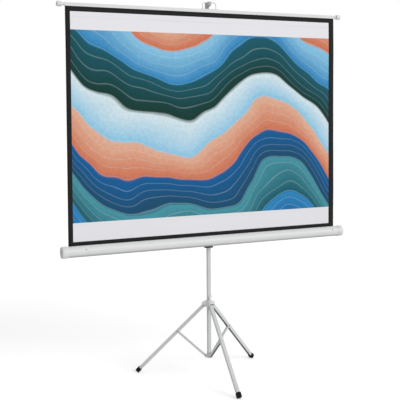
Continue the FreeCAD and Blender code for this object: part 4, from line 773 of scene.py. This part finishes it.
def make_roll():
    """The cloth that stays wound on the roller: a spiral of three turns, black on both sides."""
    turn = 2 * math.pi * ROLL_TURNS
    grown = ROLL_STEP * ROLL_TURNS
    length = (ROLL_INNER + grown / 2) * turn

    def at(across, along):
        share = along / length
        angle = turn * share
        away = Vector((0, math.cos(angle), math.sin(angle)))
        centre = Vector((across - CLOTH_WIDE / 2, ROLL_DEEP, ROLL_UP))
        return centre + away * (ROLL_INNER + grown * share), away

    roll = sheet_mesh("wound_sheet", ROLL_COLUMNS, ROLL_ROWS, at, ROLL_STEP - ROLL_AIR, CLOTH_WIDE,
                      length, [back_face("roll_back")], 0)
    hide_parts("wound_cloth")
    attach(roll, "roller")


# Looks of the carried-over solids

LINES_ALONG_X = (0.02, 1, 1)
LINES_ALONG_Z = (1, 1, 0.02)

# Pieces whose look isn't that of their material slot
DRAWN_STEEL = ("roller_tube", "roller_pin", "spring_shaft", "hem_rod")
CASE_ENAMEL = ("hanger_loop", "hanger_strip")
HOOK_PLASTIC = ("top_hook",)
ZINC = ("case_screws", "hub_rivets", "spider_rivets", "spider_screw", "strut_rivet_front",
        "strut_rivet_left", "strut_rivet_right", "strip_screws")


def dress_nodes():
    """Gives each solid the material of its slot, or its own."""
    # The case's downward faces get painted shade
    case = paint("case_enamel", (0.722, 0.734, 0.729), 0.40, grain=1100.0, wear=0.35,
                 along=LINES_ALONG_X, under=0.65)
    looks = {
        "case_paint": case,
        "pole_paint": paint("pole_enamel", (0.625, 0.634, 0.636), 0.40, grain=1300.0, wear=0.45,
                            along=LINES_ALONG_Z),
        # The legs' channels get painted shade inside
        "leg_paint": paint("leg_enamel", (0.660, 0.670, 0.672), 0.38, grain=1300.0, wear=0.55,
                           dirt=0.35, along=(1, 1, 0.05), painted_hollow_shade=0.9),
        "hub_paint": paint("hub_enamel", (0.735, 0.742, 0.745), 0.42, grain=1200.0, wear=0.55),
        "steel": bare_metal("bright_steel", (0.560, 0.560, 0.570), 0.34, (1, 1, 0.2)),
        "spring_steel": bare_metal("spring_steel", (0.180, 0.178, 0.180), 0.42, (0.1, 1, 1)),
        "dark_plastic": moulded("dark_plastic", (0.030, 0.031, 0.033), 0.52, (0.16, 0.16, 0.16)),
        # The pale plastic's end faces get painted shade
        "grey_plastic": moulded("pale_plastic", (0.730, 0.735, 0.745), 0.42, (0.60, 0.60, 0.60),
                                painted_end_shade=0.4),
        "black_plastic": moulded("black_plastic", (0.014, 0.014, 0.015), 0.50, (0.10, 0.10, 0.10)),
        "rubber": rubber("foot_rubber"),
        "cloth": back_face("hidden_cloth"),
    }
    drawn = bare_metal("drawn_steel", (0.500, 0.500, 0.510), 0.38, LINES_ALONG_X)
    hook = moulded("hook_plastic", (0.410, 0.414, 0.418), 0.46, (0.55, 0.55, 0.55))
    zinc = bare_metal("zinc_fasteners", (0.240, 0.240, 0.245), 0.46, (1, 1, 0.3))
    for solid in nodes.values():
        for place in solid.material_slots:
            place.material = looks[place.material.name.split(".")[0]]
    special = {drawn: DRAWN_STEEL, case: CASE_ENAMEL, hook: HOOK_PLASTIC, zinc: ZINC}
    for look, names in special.items():
        for name in names:
            for place in nodes[name].material_slots:
                place.material = look


# Room

AMBIENT = 0.56
SUN = 1.42
SUN_WIDE = math.radians(34)
SUN_FROM = Vector((0.46, -0.78, 0.42))
FLOOR_LIFT = 0.45
FLOOR_HALF = 60.0
FLOOR_SCALE = 0.8
FLOOR_GREYS = ((0.80, 0.80, 0.80), (0.815, 0.815, 0.815))
FLOOR_ROUGH = 0.9


def shown_white(tree_nodes, links):
    """A number that is 1 for what the camera, a mirror or glass sees, and 0 for other light."""
    path = tree_nodes.new("ShaderNodeLightPath")
    total = path.outputs["Is Camera Ray"]
    for name in ("Is Glossy Ray", "Is Transmission Ray"):
        made = tree_nodes.new("ShaderNodeMath")
        made.operation = "MAXIMUM"
        links.new(total, made.inputs[0])
        links.new(path.outputs[name], made.inputs[1])
        total = made.outputs[0]
    return total


def make_sky():
    """A white studio sky, which lights the object less brightly than it shows."""
    world = bpy.data.worlds.new("studio")
    bpy.context.scene.world = world
    world.use_nodes = True
    made = world.node_tree.nodes
    links = world.node_tree.links
    back = made["Background"]
    back.inputs["Color"].default_value = (1, 1, 1, 1)
    level = made.new("ShaderNodeMapRange")
    level.inputs["To Min"].default_value = AMBIENT
    level.inputs["To Max"].default_value = 1.0
    links.new(shown_white(made, links), level.inputs["Value"])
    links.new(level.outputs["Result"], back.inputs["Strength"])


def make_lamp():
    """One wide soft lamp from the front right."""
    lamp = bpy.data.lights.new("soft_lamp", "SUN")
    lamp.energy = SUN
    lamp.angle = SUN_WIDE
    holder = add_object("soft_lamp", lamp)
    holder.rotation_mode = "QUATERNION"
    holder.rotation_quaternion = (-SUN_FROM).to_track_quat("-Z", "Y")


def make_floor():
    """A pale floor that shows nearly white and keeps the object's shadow."""
    t = Tree("floor")
    cloud = t.noise(t.place(), FLOOR_SCALE, detail=2.0)
    t.finish(t.mix(t.spread(cloud), *FLOOR_GREYS), FLOOR_ROUGH, Specular_IOR_Level=0.1)
    glow = t.add("ShaderNodeEmission")
    t.set(glow.inputs["Strength"], t.times(shown_white(t.nodes, t.links), FLOOR_LIFT))
    both = t.add("ShaderNodeAddShader")
    t.set(both.inputs[0], t.shader.outputs[0])
    t.set(both.inputs[1], glow.outputs[0])
    t.set(t.output.inputs["Surface"], both.outputs[0])
    half = FLOOR_HALF
    corners = [(-half, -half, 0), (half, -half, 0), (half, half, 0), (-half, half, 0)]
    mesh = bpy.data.meshes.new("floor")
    mesh.from_pydata(corners, [], [(0, 1, 2, 3)])
    mesh.materials.append(t.material)
    floor = add_object("floor", mesh)


make_camera()
make_sky()
make_lamp()
make_floor()
bpy.context.scene.view_settings.view_transform = "Standard"
dress_nodes()
make_screen()
make_roll()
